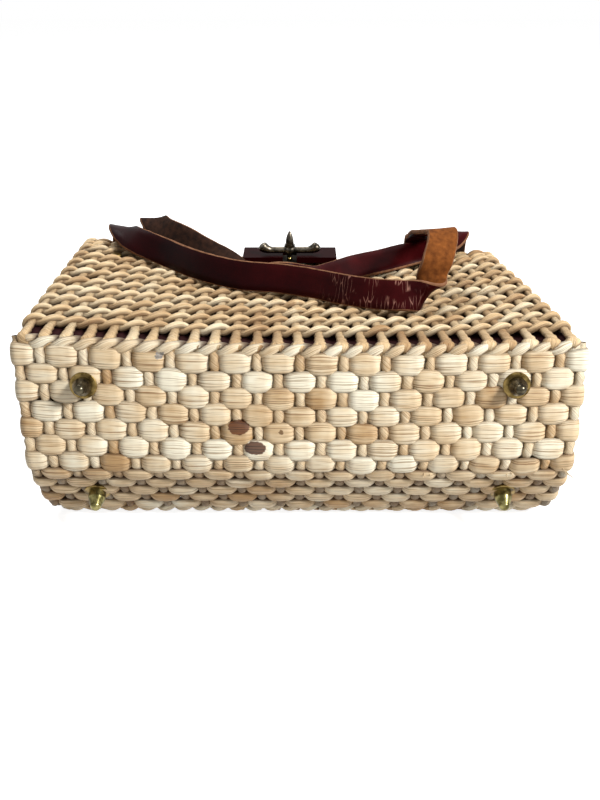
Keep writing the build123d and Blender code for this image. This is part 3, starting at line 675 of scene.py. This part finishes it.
def wall_stakes(name):
    """Twisted stakes from under the base border, round the fold and up to the rim."""
    strands = Strands()
    levels, places, outs = wall_grid(RIM_Y - STAKE_STOP, STAKE_INSET, STAKE_SHARES, LEVELS)
    fold_x, _, fold_z = places[FOLD_LEVEL].T
    at_front = fold_z > DEPTH / 2
    root_run = np.where(at_front, BASE_LENGTH - STAKE_ROOT, STAKE_ROOT)
    edge_run = np.where(at_front, BASE_LENGTH - STAKE_EDGE, STAKE_EDGE)
    under, under_out = base_point(fold_x, root_run, WEFT_INSET + ROOT_DROP)
    edge, edge_out = base_point(fold_x, edge_run, STAKE_INSET - EDGE_RISE)
    for stake in range(STAKES):
        start = wall_start(fold_z[stake], WALL_START)
        number = int((RIM_Y - start) / STAKE_SAMPLE)
        runs = np.linspace(start, RIM_Y - STAKE_STOP, number)
        wall = along_line(runs, levels, places[:, stake])
        wall_out = along_line(runs, levels, outs[:, stake])
        if abs(outs[FOLD_LEVEL, stake, 0]) > SIDE_WAY:
            path, out = wall[2:], wall_out[2:]
        else:
            corner = bend(edge[stake], edge[stake] - under[stake], wall[0], wall[1] - wall[0])
            corner_out = np.linspace(edge_out[stake], wall_out[0], len(corner))
            path = np.concatenate([[under[stake]], corner[:-1], wall])
            out = np.concatenate([[under_out[stake]], corner_out[:-1], wall_out])
        number = len(path)
        across = unit(np.cross(out, ALONG_WALL + CROSS_NUDGE))
        path = path + across * wander(number, 14, STAKE_DRIFT)[:, None]
        shade = STAKE_TONE + rng.normal(0, STAKE_TONE_SPREAD) + wander(number, 12, STAKE_TONE_WANDER)
        near_fold = smooth(1.5 - np.arange(number) / FOLD_SAMPLES)
        widths = STAKE_WIDTH * (1 + wander(number, 10, STAKE_JITTER_SHARE) + FOLD_SWELL_SHARE * near_fold)
        # Painted shade on the walls, where the rows cross the stake
        strands.add(path, out, widths, STAKE_THICKNESS, shade, twist=STAKE_TWIST, lobes=STAKE_LOBE_SHARE,
                    sides=8, deep=STAKE_SHADE * (1 - near_fold))
    return strands.build(name, wall_straw)


def eased(start, first, end, last, share):
    """A cubic from a point and tangent to another, at shares of the way."""
    square, cube = share ** 2, share ** 3
    run = start * (2 * cube - 3 * square + 1) + first * (cube - 2 * square + share)
    return run + end * (3 * square - 2 * cube) + last * (cube - square)


def bend(start, start_way, end, end_way):
    """A smooth run from one point and direction to another."""
    gap = np.linalg.norm(end - start)
    share = np.linspace(0, 1, BEND_STEPS)[:, None]
    return eased(start, unit(start_way) * gap, end, unit(end_way) * gap, share)


# Woven base

ROW_PLACES = [0, LOWER_ROWS, WEFT_ROWS]
MEAN_PITCH = (BASE_LENGTH - 2 * BASE_BORDER) / WEFT_ROWS
ROW_RUNS = [
    BASE_BORDER,
    BASE_BORDER + LOWER_ROWS * LOWER_PITCH_SHARE * MEAN_PITCH,
    BASE_LENGTH - BASE_BORDER,
]
SLIPPED_ROW = LOWER_ROWS  # the first row above the crease sags at the right
SLIP = 0.0026
SLIP_X = 0.128
SLIP_REACH = 0.020
# Angle, run past the edge and tuck along the turned ends of the wefts
TURN_DEGREES = [20, 40, 60, 80, 90, 90, 90]
TURN_PAST = np.array([0, 0, 0, 0, 0.0025, 0.0055, 0.010])
TURN_TUCK = np.array([0, 0, 0, 0, 0.0002, 0.0014, 0.0036])


def base_wefts(name):
    """Flat wefts over one stake and under the next, turned round the edges of the base."""
    strands = Strands()
    steps = 12
    turn = np.radians(TURN_DEGREES)[:, None]
    for row in range(WEFT_ROWS):
        run = np.interp(row + 0.5, ROW_PLACES, ROW_RUNS)
        pitch = np.interp(row + 1, ROW_PLACES, ROW_RUNS) - np.interp(row, ROW_PLACES, ROW_RUNS)
        # Rows below the crease take a darker tone and edge: painted shade
        form = LENS if row < LOWER_ROWS else WEFT
        half = (BASE_STAKES + 1) / 2
        stake = np.linspace(-half, half, int(2 * half * steps) + 1)
        x = stake * (base_width(np.array(run)) - 2 * BASE_END) / (BASE_STAKES + 1)
        number = len(stake)
        over = 1 - np.abs((stake + row + 1) % 2 - 1)  # 1 over a stake, 0 under the next
        swing = 2 * smooth((over - WEFT_RISE_FROM_SHARE) / WEFT_RISE_SHARE) - 1
        runs = run + wander(number, steps * 2, WEFT_DRIFT)
        if row == SLIPPED_ROW:
            runs = runs - SLIP * np.exp(-((x - SLIP_X) / SLIP_REACH) ** 2)
        depth = WEFT_INSET - WEFT_LIFT * swing + WEFT_BOW * (1 - over)
        centres, out = base_point(x, runs, depth)
        pieces, ways = [centres], [out]
        for end, hand in ((0, -1), (-1, 1)):
            side = FLAT * hand
            lift = out[end] * np.cos(turn) + side * np.sin(turn)
            arc = centres[end] - out[end] * WEFT_TURN + lift * WEFT_TURN - out[end] * TURN_PAST[:, None]
            arc = arc - side * TURN_TUCK[:, None]
            pieces.insert(0 if hand < 0 else len(pieces), arc[::hand])
            ways.insert(0 if hand < 0 else len(ways), lift[::hand])
        jitter = 1 + wander(number, steps, WEFT_JITTER_SHARE)
        shares = blend(form["end_share"], form["middle_share"], 1 - (1 - over) ** 2)
        widths = pitch * jitter * shares
        shade = form["tone"] + wander(number, steps * 2, TONE_SPREAD)
        # Painted shade where a weft goes under a stake, and on its turned ends
        deep = WEFT_SHADE * smooth((WEFT_SHADE_SHARE - over) / WEFT_FADE_SHARE)
        widths, shade = [np.pad(values, len(turn), mode="edge") for values in (widths, shade)]
        deep = np.pad(deep, len(turn), mode="linear_ramp", end_values=WEFT_END_SHADE)
        strands.add(np.concatenate(pieces), np.concatenate(ways), widths, form["thickness"], shade,
                    square=SQUARENESS, sides=14, deep=deep, edge=form["edge"])
    return strands.build(name, base_straw)


def edge_twine(strands, run, toward):
    """Two twined strands along one fold of the base."""
    number = STEPS * BORDER_STAKES
    half = base_width(np.array(run)) / 2 - BORDER_STOP
    x = np.linspace(-half, half, number)
    turned = smooth((np.abs(x) - half + BORDER_TURN) / BORDER_TURN)
    ring, out = base_point(x, np.full(number, run), STAKE_INSET + BORDER_DROP * turned)
    step = 0.001
    inner, _ = base_point(x, np.full(number, run - toward * step), STAKE_INSET)
    side = unit(ring - inner) * toward
    twine(strands, ring, out, side, **BORDER_TWINE, taper=1 - BORDER_TAPER_SHARE * turned)


# Broken ends of straw: x, row, reach and turn of each
FRAYS = [
    (0.154, 5.1, 0.007, 0.9),
    (0.153, 5.3, 0.006, 0.4),
    (0.155, 4.9, 0.005, 1.2),
    (0.074, 5.0, 0.004, -0.5),
    (0.0755, 4.9, 0.003, 0.6),
    (0.073, 4.9, 0.003, 0.1),
    (0.122, 4.9, 0.003, -0.3),
    (0.1235, 4.95, 0.004, 0.5),
]
FRAY_WIDTH = 0.0019
FRAY_RISE_SHARE = 0.7  # of its reach
FRAY_FALL_SHARE = 0.4
FRAY_TAPER_SHARE = 0.8
FRAY_TONE = 0.45


def frayed_end(strands, x, run, reach, turned):
    """A broken end of straw that stands off the base."""
    number = 8
    share = np.linspace(0, 1, number)
    root, out = base_point(np.full(number, x), np.full(number, run), WEFT_INSET)
    way = np.array([math.sin(turned), 0, -math.cos(turned) * FRAY_FALL_SHARE])
    centres = root + out * ((WEFT_INSET + reach * FRAY_RISE_SHARE) * share)[:, None]
    centres = centres + way * (reach * share ** 2)[:, None]
    widths = FRAY_WIDTH * (1 - FRAY_TAPER_SHARE * share)
    side = np.broadcast_to(FLAT, centres.shape)
    strands.add(centres, side, widths, widths, FRAY_TONE, sides=6, edge=0)


def base_stakes(name):
    """Twisted stakes over and under the wefts, the broken ends, and the twined borders along the folds."""
    strands = Strands()
    number = 150
    run = np.linspace(BASE_STAKE_STOP, BASE_LENGTH - BASE_STAKE_STOP, number)
    row = np.interp(run, ROW_RUNS, ROW_PLACES) - 0.5
    lower = smooth((LOWER_ROWS - row) / 1.5)
    tucked = smooth((np.abs(run - BASE_LENGTH / 2) - BASE_LENGTH / 2 + TUCK_FROM) / TUCK_REACH)
    last = BASE_STAKES // 2 + 1
    for stake in range(-last, last + 1):
        x = stake * (base_width(run) - 2 * BASE_END) / (BASE_STAKES + 1)
        x = x + wander(number, 18, BASE_STAKE_DRIFT)
        wave = np.cos(math.pi * (row + stake))
        depth = WEFT_INSET - BASE_STAKE_RISE + BASE_STAKE_LIFT * wave + STAKE_TUCK * tucked
        centres, out = base_point(x, run, depth)
        shade = BASE_STAKE_TONE + rng.normal(0, BASE_TONE_SPREAD) + wander(number, 12, BASE_TONE_WANDER)
        widths = BASE_STAKE_WIDTH * (1 + wander(number, 12, BASE_STAKE_JITTER_SHARE))
        # Painted shade where a stake goes under a weft, and on the stakes below the crease
        deep = np.maximum(UNDER_SHADE * smooth(wave * 0.8 + 0.1), LOWER_SHADE * lower)
        strands.add(centres, out, widths, BASE_STAKE_THICKNESS, shade, twist=STAKE_TWIST,
                    lobes=STAKE_LOBE_SHARE, sides=10, deep=deep)
    for x, row_place, reach, turned in FRAYS:
        frayed_end(strands, x, np.interp(row_place, ROW_PLACES, ROW_RUNS), reach, turned)
    edge_twine(strands, BASE_LENGTH - BORDER_INSET, 1)
    edge_twine(strands, BORDER_INSET, -1)
    return strands.build(name, base_straw)


weave = [
    twined_rows("twined_rows_lower", ROWS[:LOWER_WALL_ROWS]),
    twined_rows("twined_rows_upper", ROWS[LOWER_WALL_ROWS:] + RIM_ROWS),
    wall_stakes("wall_stakes"),
    base_wefts("base_wefts"),
    base_stakes("base_stakes"),
]
for piece in weave:
    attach(piece, "bag")
    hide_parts("woven_body")


# Lining

LINING_INSET = 0.0070  # below the crests of the walls
LINING_FLOOR = 0.0094  # below the crests of the base
LINING_RISE = 0.004  # its walls start this far past its floor
LINING_SETBACK = 0.005  # its hem below the rim
RIPPLE = 0.00012
HEM_RISE = 0.0004
HEM_OUT = 0.0003
FLOOR_SHARES = (0.02, 0.25, 0.5, 0.75, 0.92, 1)
SACK_HEIGHT = 0.3  # of the cloth's map
SACK_GIRTH = 0.9


def base_loop(inset):
    """Outline of the base in from its edge, as x and a run along its profile."""
    front = WIDTH / 2 - inset
    back = WIDTH * BASE_BACK_SHARE / 2 - inset
    near = BASE_LENGTH - inset
    corners = [(front, near), (back, inset), (-back, inset), (-front, near)]
    return rounded_loop(corners, corner_radius(inset))


def lining_sack(name):
    """A cloth sack inside the weave, hemmed below the rim."""
    around = 360
    shares = np.arange(around) / around
    middle = np.array([0, BASE_LENGTH / 2])
    edge = along_loop(base_loop(LINING_INSET), shares)[0]
    rings = []
    for size_share in FLOOR_SHARES:
        places = middle + (edge - middle) * size_share
        rings.append(base_point(places[:, 0], places[:, 1], LINING_FLOOR)[0])
    hem = RIM_Y - LINING_SETBACK
    start = wall_start(wall_ring(FOLD_Y, LINING_INSET, shares)[0][:, 2], LINING_FLOOR + LINING_RISE)
    levels, grid, outs = wall_grid(hem, LINING_INSET, shares, 40)
    index = np.arange(around)
    turns = shares * 2 * math.pi
    for share in np.linspace(0, 1, 30):
        y = blend(start, np.full_like(start, hem), share)
        place = np.clip((y - levels[0]) / (levels[1] - levels[0]), 0, len(levels) - 1.001)
        low = place.astype(int)
        part = (place - low)[:, None]
        ring = blend(grid[low, index], grid[low + 1, index], part)
        out = blend(outs[low, index], outs[low + 1, index], part)
        waves = np.sin(turns * 19 + 3 * share) + np.sin(turns * 43 - 5 * share)
        rings.append(ring - out * (RIPPLE * (1 + waves / 2))[:, None])
    rings.append(rings[-1] + ALONG_WALL * HEM_RISE + out * HEM_OUT)
    points = np.array(rings)
    count = len(points)
    ring, side, quads = grid_quads(count - 1, count, around)
    inward = quads[:, [0, 3, 2, 1]]
    corners_u = np.stack([ring, ring + 1, ring + 1, ring], axis=-1) / count * SACK_HEIGHT
    corners_v = np.stack([side, side, side + 1, side + 1], axis=-1) / around * SACK_GIRTH
    uvs = np.stack([corners_u, corners_v], axis=-1).reshape(-1, 2)
    tints = np.ones((count * around, 4))
    return grid_object(name, points.reshape(-1, 3), inward, uvs, tints, [lining_cloth])


lining = lining_sack("lining_sack")
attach(lining, "bag")
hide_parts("lining")


# Straps, on the routes of the solids

# Place along the rim and height of the crest, left and right
FRONT_END_SHARES = ((-0.86, 0.55), (0.58, 0.82))
BACK_END_SHARES = ((-0.71, 1.1), (0.76, 0.8))
# Place across and up the front wall, lift off it, and direction across the strap
FRONT_PASS_SHARES = [
    (-0.79, 0.29, 0.25, (0.66, 0.49, 0.57)),
    (-0.64, 0.20, 0.02, (0.29, 0.30, 0.91)),
    (-0.41, 0.02, 0.02, (0.18, 0.25, 0.95)),
    (-0.26, -0.05, 0.02, (0.12, 0.32, 0.94)),
    (-0.08, -0.075, 0.02, (0.09, 0.33, 0.94)),
    (0.06, -0.13, 0.02, (0.12, 0.31, 0.94)),
    (0.18, -0.20, 0.02, (0.12, 0.31, 0.94)),
    (0.32, -0.26, 0.02, (0.08, 0.31, 0.95)),
]
FOLD_START_SHARES = (0.47, -0.285, 0.02, (0, 0.3, 0.95))
FRONT_ARCH_SHARES = [
    (0.563, -0.205, 1.03, (0.98, 0.18, 0)),
    (0.585, -0.155, 1.38, (0.88, 0.47, 0)),
    (0.602, -0.07, 1.63, (0.90, 0.43, 0)),
    (0.598, 0.04, 1.40, (0.97, 0.25, 0)),
    (0.588, 0.17, 1.02, (1, 0.08, 0)),
    (0.58, 0.29, 0.68, FLAT),
]
BACK_PASS_SHARES = [
    (-0.655, 0.345, 0.60, (-0.80, -0.15, -0.55)),
    (-0.54, 0.275, 0.34, (-0.40, -0.35, -0.85)),
    (-0.43, 0.205, 0.17, (-0.42, -0.55, -0.72)),
    (-0.33, 0.13, 0.25, (-0.48, -0.80, -0.35)),
    (-0.23, 0.05, 0.10, (-0.40, -0.80, 0.45)),
    (-0.13, 0.008, 0.02, (-0.20, -0.60, 0.77)),
    (-0.05, -0.05, 0.02, (-0.05, 0.35, 0.93)),
    (0.02, -0.035, 0.02, (-0.05, 0.68, 0.73)),
    (0.09, 0.0, 0.02, (-0.15, 0.82, 0.55)),
    (0.17, 0.065, 0.03, (-0.30, 0.75, 0.56)),
    (0.27, 0.155, 0.04, (-0.41, 0.70, 0.56)),
    (0.39, 0.225, 0.04, (-0.45, 0.68, 0.56)),
    (0.51, 0.295, 0.05, (-0.52, 0.64, 0.56)),
    (0.63, 0.345, 0.14, (-0.66, 0.68, 0.32)),
    (0.715, 0.378, 0.38, (-0.85, 0.45, 0.15)),
]


def on_front(x_share, y_share, lift_share, across):
    x = x_share * HALF_MOUTH
    y = y_share * HEIGHT
    across = unit(across)
    upright = abs(across[2])
    half_rise = upright * STRAP_WIDTH / 2 + (1 - upright) * STRAP / 2
    z = front_height(x, y) + CLEARANCE + half_rise + lift_share * STRAP_WIDTH
    return np.array([x, y, z]), across


def front_leg(x_share, past_rim):
    x = x_share * HALF_MOUTH
    y = FRONT_RIM_Y + past_rim
    step = 0.004
    slope_x = (front_height(x + step, y) - front_height(x - step, y)) / (2 * step)
    slope_y = (front_height(x, y + step) - front_height(x, y - step)) / (2 * step)
    normal = unit((-slope_x, -slope_y, 1))
    origin = np.array([x, y, front_height(x, y)]) - normal * (INNER_STACK + STRAP / 2)
    return origin, unit((1, 0, slope_x))


def back_leg(x_share, past_rim):
    return np.array([x_share * HALF_MOUTH, RIM_Y + past_rim, INNER_STACK + STRAP / 2]), -FLAT


def rim_turn(x_share, middle_y, middle_z, radius, start, end):
    points = []
    for step in range(TURN_STEPS + 1):
        angle = math.radians(blend(start, end, step / TURN_STEPS))
        y = middle_y + radius * math.cos(angle)
        z = middle_z + radius * math.sin(angle)
        points.append(np.array([x_share * HALF_MOUTH, y, z]))
    return points


def turn_over_front(x_share, crest_share):
    leg, across = front_leg(x_share, 0)
    high = front_height(x_share * HALF_MOUTH, FRONT_RIM_Y) + crest_share * STRAP_WIDTH
    radius = (high - leg[2]) / 2
    turn = rim_turn(x_share, FRONT_RIM_Y + CLEARANCE, leg[2] + radius, radius, -90, 90)
    return [(point, across) for point in turn]


def rise_from_back(x_share, crest_share):
    low = INNER_STACK + STRAP / 2
    bend_radius = STRAP_WIDTH / 2
    high = front_height(x_share * HALF_MOUTH, FRONT_RIM_Y) + crest_share * STRAP_WIDTH
    foot = rim_turn(x_share, RIM_Y + CLEARANCE, low + bend_radius, bend_radius, -90, 0)
    head = rim_turn(x_share, FRONT_RIM_Y - bend_radius / 2, high - STRAP_WIDTH, STRAP_WIDTH, 0, 90)
    return [(point, -FLAT) for point in foot + head[:-1]]


def diagonal_fold(start, along, across):
    behind = unit(np.cross(across, along))
    axis = unit(along + across)
    side = unit(along - across)
    stations = []
    for step in range(FOLD_STEPS + 1):
        angle = math.pi * step / FOLD_STEPS
        turned = side * math.cos(angle) + behind * math.sin(angle)
        reach = side * math.sin(angle) + behind * (1 - math.cos(angle))
        stations.append((start + axis * (FOLD_RADIUS * angle) + reach * FOLD_RADIUS, unit(axis - turned)))
    return stations


def in_air(x_share, y_share, lift_share, across):
    z = DEPTH + lift_share * STRAP_WIDTH
    return np.array([x_share * HALF_MOUTH, y_share * HEIGHT, z]), unit(across)


def front_route():
    start, across = on_front(*FOLD_START_SHARES)
    left, right = FRONT_END_SHARES
    route = [front_leg(left[0], -STRAP_OVERLAP)]
    route += turn_over_front(*left)
    route += [on_front(*share) for share in FRONT_PASS_SHARES]
    route += diagonal_fold(start, FLAT, across)
    route += [in_air(*share) for share in FRONT_ARCH_SHARES]
    route += reversed(turn_over_front(*right))
    route += [front_leg(right[0], -STRAP_OVERLAP)]
    return route


def back_route():
    left, right = BACK_END_SHARES
    route = [back_leg(left[0], -STRAP_OVERLAP)]
    route += rise_from_back(*left)
    route += [on_front(*share) for share in BACK_PASS_SHARES]
    route += reversed(rise_from_back(*right))
    route += [back_leg(right[0], -STRAP_OVERLAP)]
    return route


def flowing(values, knots, samples):
    """A smooth curve through values at knots."""
    values = np.array(values)
    gaps = np.diff(knots)[:, None]
    slopes = np.diff(values, axis=0) / gaps
    inner = (slopes[:-1] * gaps[1:] + slopes[1:] * gaps[:-1]) / (gaps[:-1] + gaps[1:])
    tangents = np.concatenate([slopes[:1], inner, slopes[-1:]])
    low = np.clip(np.searchsorted(knots, samples) - 1, 0, len(knots) - 2)
    gap = gaps[low]
    share = (samples - knots[low])[:, None] / gap
    return eased(values[low], tangents[low] * gap, values[low + 1], tangents[low + 1] * gap, share)


PAINTED_SHADE_TO = -0.060  # painted shade darkens the leather left of here
PAINTED_SHADE_REACH = 0.10
CRACKS_FROM = 0.010
CRACKS_TO = 0.078
CRACKS_RISE = 0.02  # runs over which they begin and end
CRACKS_FALL = 0.01


def front_cracks(centres):
    begun = smooth((centres[:, 0] - CRACKS_FROM) / CRACKS_RISE)
    return begun * smooth((CRACKS_TO - centres[:, 0]) / CRACKS_FALL) * (centres[:, 1] < 0)


def strap(name, route, inner, cracked):
    """A leather strap with a grain side, a suede side and raw edges."""
    points = np.array([point for point, _ in route])
    knots = run_lengths(points)
    samples = np.linspace(0, knots[-1], int(knots[-1] / STRAP_SAMPLE))
    centres = flowing(points, knots, samples)
    across = unit(flowing([way for _, way in route], knots, samples))
    along = unit(np.gradient(centres, axis=0))
    across = unit(across - along * np.sum(across * along, axis=1, keepdims=True))
    up = np.cross(along, across)
    half, thick, bevel = STRAP_WIDTH / 2, STRAP / 2, STRAP_BEVEL
    flat = half - bevel
    ring = np.array([
        (-flat, -thick), (-flat / 2, -thick), (flat / 2, -thick), (flat, -thick),
        (half, -thick + bevel), (half, thick - bevel),
        (flat, thick), (flat / 2, thick), (-flat / 2, thick), (-flat, thick),
        (-half, thick - bevel), (-half, -thick + bevel),
    ])
    faces = np.array([1, 1, 1, 2, 2, 2, 0, 0, 0, 2, 2, 2])
    sides = len(ring)
    rough = 1 + wander(len(samples), 3, STRAP_ROUGH_SHARE)
    mesh_points = centres[:, None, :] + across[:, None, :] * ring[None, :, :1] * rough[:, None, None]
    mesh_points = mesh_points + up[:, None, :] * ring[None, :, 1:]
    row, side, quads = grid_quads(len(samples) - 1, len(samples), sides)
    around = run_lengths(np.append(ring, ring[:1], axis=0))
    low, high = samples[row], samples[row + 1]
    corners = ((low, side), (low, side + 1), (high, side + 1), (high, side))
    uvs = np.stack([np.stack([run, around[edge]], axis=-1) for run, edge in corners], axis=2).reshape(-1, 2)
    tints = np.ones((len(samples), sides, 4))
    # Red of the tint: low towards the left, where painted shade darkens the leather
    tints[..., 0] = smooth((centres[:, 0] - PAINTED_SHADE_TO) / PAINTED_SHADE_REACH)[:, None]
    tints[..., 1] = front_cracks(centres)[:, None] if cracked else 0
    return grid_object(name, mesh_points.reshape(-1, 3), quads, uvs, tints.reshape(-1, 4),
                       [grain, inner, raw_edge], np.tile(faces, len(samples) - 1))


straps = {
    "front_handle": strap("front_strap", front_route(), suede, cracked=True),
    # its suede side takes the suede in painted shade
    "back_handle": strap("back_strap", back_route(), painted_shade_suede, cracked=False),
}
for name, piece in straps.items():
    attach(piece, "bag")
    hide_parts(name)


# Toggle of the clasp, a bar with swelling, upturned ends

CLASP = (-0.007397, 0.0575)  # x and y of the post's middle
BAR_Z = 0.1267
BAR_STRAIGHT = 0.012  # half the straight middle
BAR_BEND = 0.012
BAR_TURN = math.radians(48)
BAR_RADIUS = 0.0023
HORN_RADIUS = 0.0037
HUB_RADIUS = 0.0044
HUB_HALF = 0.0026
HUB_LEVEL_SHARES = np.array([-1, -1, -0.8, 0.8, 1, 1])
HUB_REACH_SHARES = np.array([0.02, 0.85, 1, 1, 0.85, 0.02])
HUB_STEP = 0.00002  # keeps the rings of its flat ends apart
SWELL_FROM_SHARE = 0.55  # of half the bar
SWELL_SHARE = 0.35
NOSE_FROM_SHARE = 0.88
NOSE_SHARE = 0.1201
NOSE_LEAST = 0.0004  # keeps the last ring open


def toggle_bar(name):
    """The bar and its hub, closed across the front as at rest."""
    strands = Strands()
    half = BAR_STRAIGHT + BAR_BEND * BAR_TURN
    run = np.linspace(-half, half, 81)
    turn = np.clip((np.abs(run) - BAR_STRAIGHT) / BAR_BEND, 0, None)
    x = np.sign(run) * (np.minimum(np.abs(run), BAR_STRAIGHT) + BAR_BEND * np.sin(turn))
    z = BAR_Z + BAR_BEND * (1 - np.cos(turn))
    centres = np.stack([CLASP[0] + x, np.full_like(x, CLASP[1]), z], axis=-1)
    out = np.broadcast_to(ALONG_WALL, centres.shape)
    share = np.abs(run) / half
    radii = blend(BAR_RADIUS, HORN_RADIUS, smooth((share - SWELL_FROM_SHARE) / SWELL_SHARE))
    nose = ((share - NOSE_FROM_SHARE) / NOSE_SHARE).clip(0)
    radii = radii * np.sqrt(np.clip(1 - nose ** 2, NOSE_LEAST, 1))
    strands.add(centres, out, radii * 2, radii * 2, 0.5, sides=16)
    levels = HUB_LEVEL_SHARES * HUB_HALF
    levels = levels + np.linspace(-1, 1, len(levels)) * HUB_STEP
    hub = np.array([(*CLASP, BAR_Z + level) for level in levels])
    reach = HUB_REACH_SHARES * HUB_RADIUS * 2
    strands.add(hub, np.broadcast_to(ALONG_WALL, hub.shape), reach, reach, 0.5, sides=24)
    return strands.build(name, bronze)


toggle = toggle_bar("toggle_bar")
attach(toggle, "toggle")
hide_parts("clasp_toggle")


# Pin head on the front of the clasp's post

PIN_PLACE = (CLASP[0], 0.0560, 0.1206)
PIN_RADIUS = 0.0015
PIN_TIP = 0.04  # radians, keeps the last ring open


def pin_head(name):
    """A round head that faces the base."""
    strands = Strands()
    turn = np.linspace(PIN_TIP, math.pi / 2, 9)[::-1]
    ahead = -PIN_RADIUS * np.cos(turn)
    reach = 2 * PIN_RADIUS * np.sin(turn)
    centres = np.array(PIN_PLACE) + ALONG_WALL * ahead[:, None]
    out = np.broadcast_to(np.array([0.0, 0.0, 1.0]), centres.shape)
    strands.add(centres, out, reach, reach, 0.5, sides=20)
    return strands.build(name, bright_brass)


pin = pin_head("post_pin")
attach(pin, "bag")


# Finishes of the solids that stay

def finish(name, material):
    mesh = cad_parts[name].data
    mesh.materials.clear()
    mesh.materials.append(material)


finish("closure_tab", tab_grain)
finish("tab_rivets", old_brass)
for part in ("clasp_backing", "clasp_finial"):
    finish(part, bronze)
for part in ("clasp_plate", "clasp_post"):
    finish(part, tarnish)
for corner in ("front_left", "front_right", "back_left", "back_right"):
    # One metal for all studs, painted in shade on the front and in light on the back
    finish(f"{corner}_foot_stud", shaded_stud_metal if "front" in corner else lit_stud_brass)
    finish(f"{corner}_foot_washer", old_brass)
    finish(f"{corner}_foot_backing", old_brass)
    finish(f"{corner}_handle_rivet", old_brass)


# Floor, light and camera

FLOOR_SIZE = 8
FLOOR_GREY = 0.62
FLOOR_GLOW = 0.88
WORLD_LIGHT = 0.16  # on the object
LENS = 40.5  # millimetres, as the sensor
SENSOR = 36
CAMERA_PLACE = (0, -0.567, 0.324)
CAMERA_PITCH = math.radians(63)
# Place, aim, size and power of each lamp
LAMPS = {
    "key": ((1.2, -0.80, 1.15), (0, 0, 0.08), 0.38, 39),
    "top": ((-0.3, 0.5, 1.3), (0, 0, 0.1), 0.8, 12),
}


def seen_white(tree):
    """1 for rays from the camera, in reflections and through clear pieces, 0 for light on the object."""
    path = node(tree, "ShaderNodeLightPath")
    seen = maths(tree, "MAXIMUM", path.outputs["Is Camera Ray"], path.outputs["Is Glossy Ray"])
    return maths(tree, "MAXIMUM", seen, path.outputs["Is Transmission Ray"])


def add_floor():
    bpy.ops.mesh.primitive_plane_add(size=FLOOR_SIZE, location=(0, 0, 0))
    floor = bpy.context.object
    floor.name = "floor"
    material, tree, shader = new_material("floor_white", (FLOOR_GREY,) * 3, 0.9, 0)
    shader.inputs["Emission Color"].default_value = (1, 1, 1, 1)
    glow = maths(tree, "MULTIPLY", seen_white(tree), FLOOR_GLOW)
    tree.links.new(glow, shader.inputs["Emission Strength"])
    floor.data.materials.append(material)


def add_lamp(name, place, aim, size, power):
    lamp = bpy.data.lights.new(name, "AREA")
    lamp.shape = "DISK"
    lamp.size = size
    lamp.energy = power
    obj = bpy.data.objects.new(name, lamp)
    obj.location = place
    way = np.array(aim) - np.array(place)
    pitch = math.atan2(math.hypot(way[0], way[1]), -way[2])
    obj.rotation_euler = (pitch, 0, math.atan2(way[1], way[0]) - math.pi / 2)
    bpy.context.collection.objects.link(obj)


def add_world():
    world = bpy.data.worlds.new("studio")
    world.use_nodes = True
    bpy.context.scene.world = world
    tree = world.node_tree
    seen = maths(tree, "MULTIPLY", seen_white(tree), 1 - WORLD_LIGHT)
    strength = maths(tree, "ADD", seen, WORLD_LIGHT)
    background = tree.nodes["Background"]
    background.inputs["Color"].default_value = (1, 1, 1, 1)
    tree.links.new(strength, background.inputs["Strength"])


def add_camera():
    camera = bpy.data.cameras.new("camera")
    camera.lens = LENS
    camera.sensor_width = SENSOR
    obj = bpy.data.objects.new("camera", camera)
    obj.location = CAMERA_PLACE
    obj.rotation_euler = (CAMERA_PITCH, 0, 0)
    bpy.context.collection.objects.link(obj)
    bpy.context.scene.camera = obj


add_floor()
add_world()
for name, values in LAMPS.items():
    add_lamp(name, *values)
add_camera()
bpy.context.scene.view_settings.view_transform = "Standard"
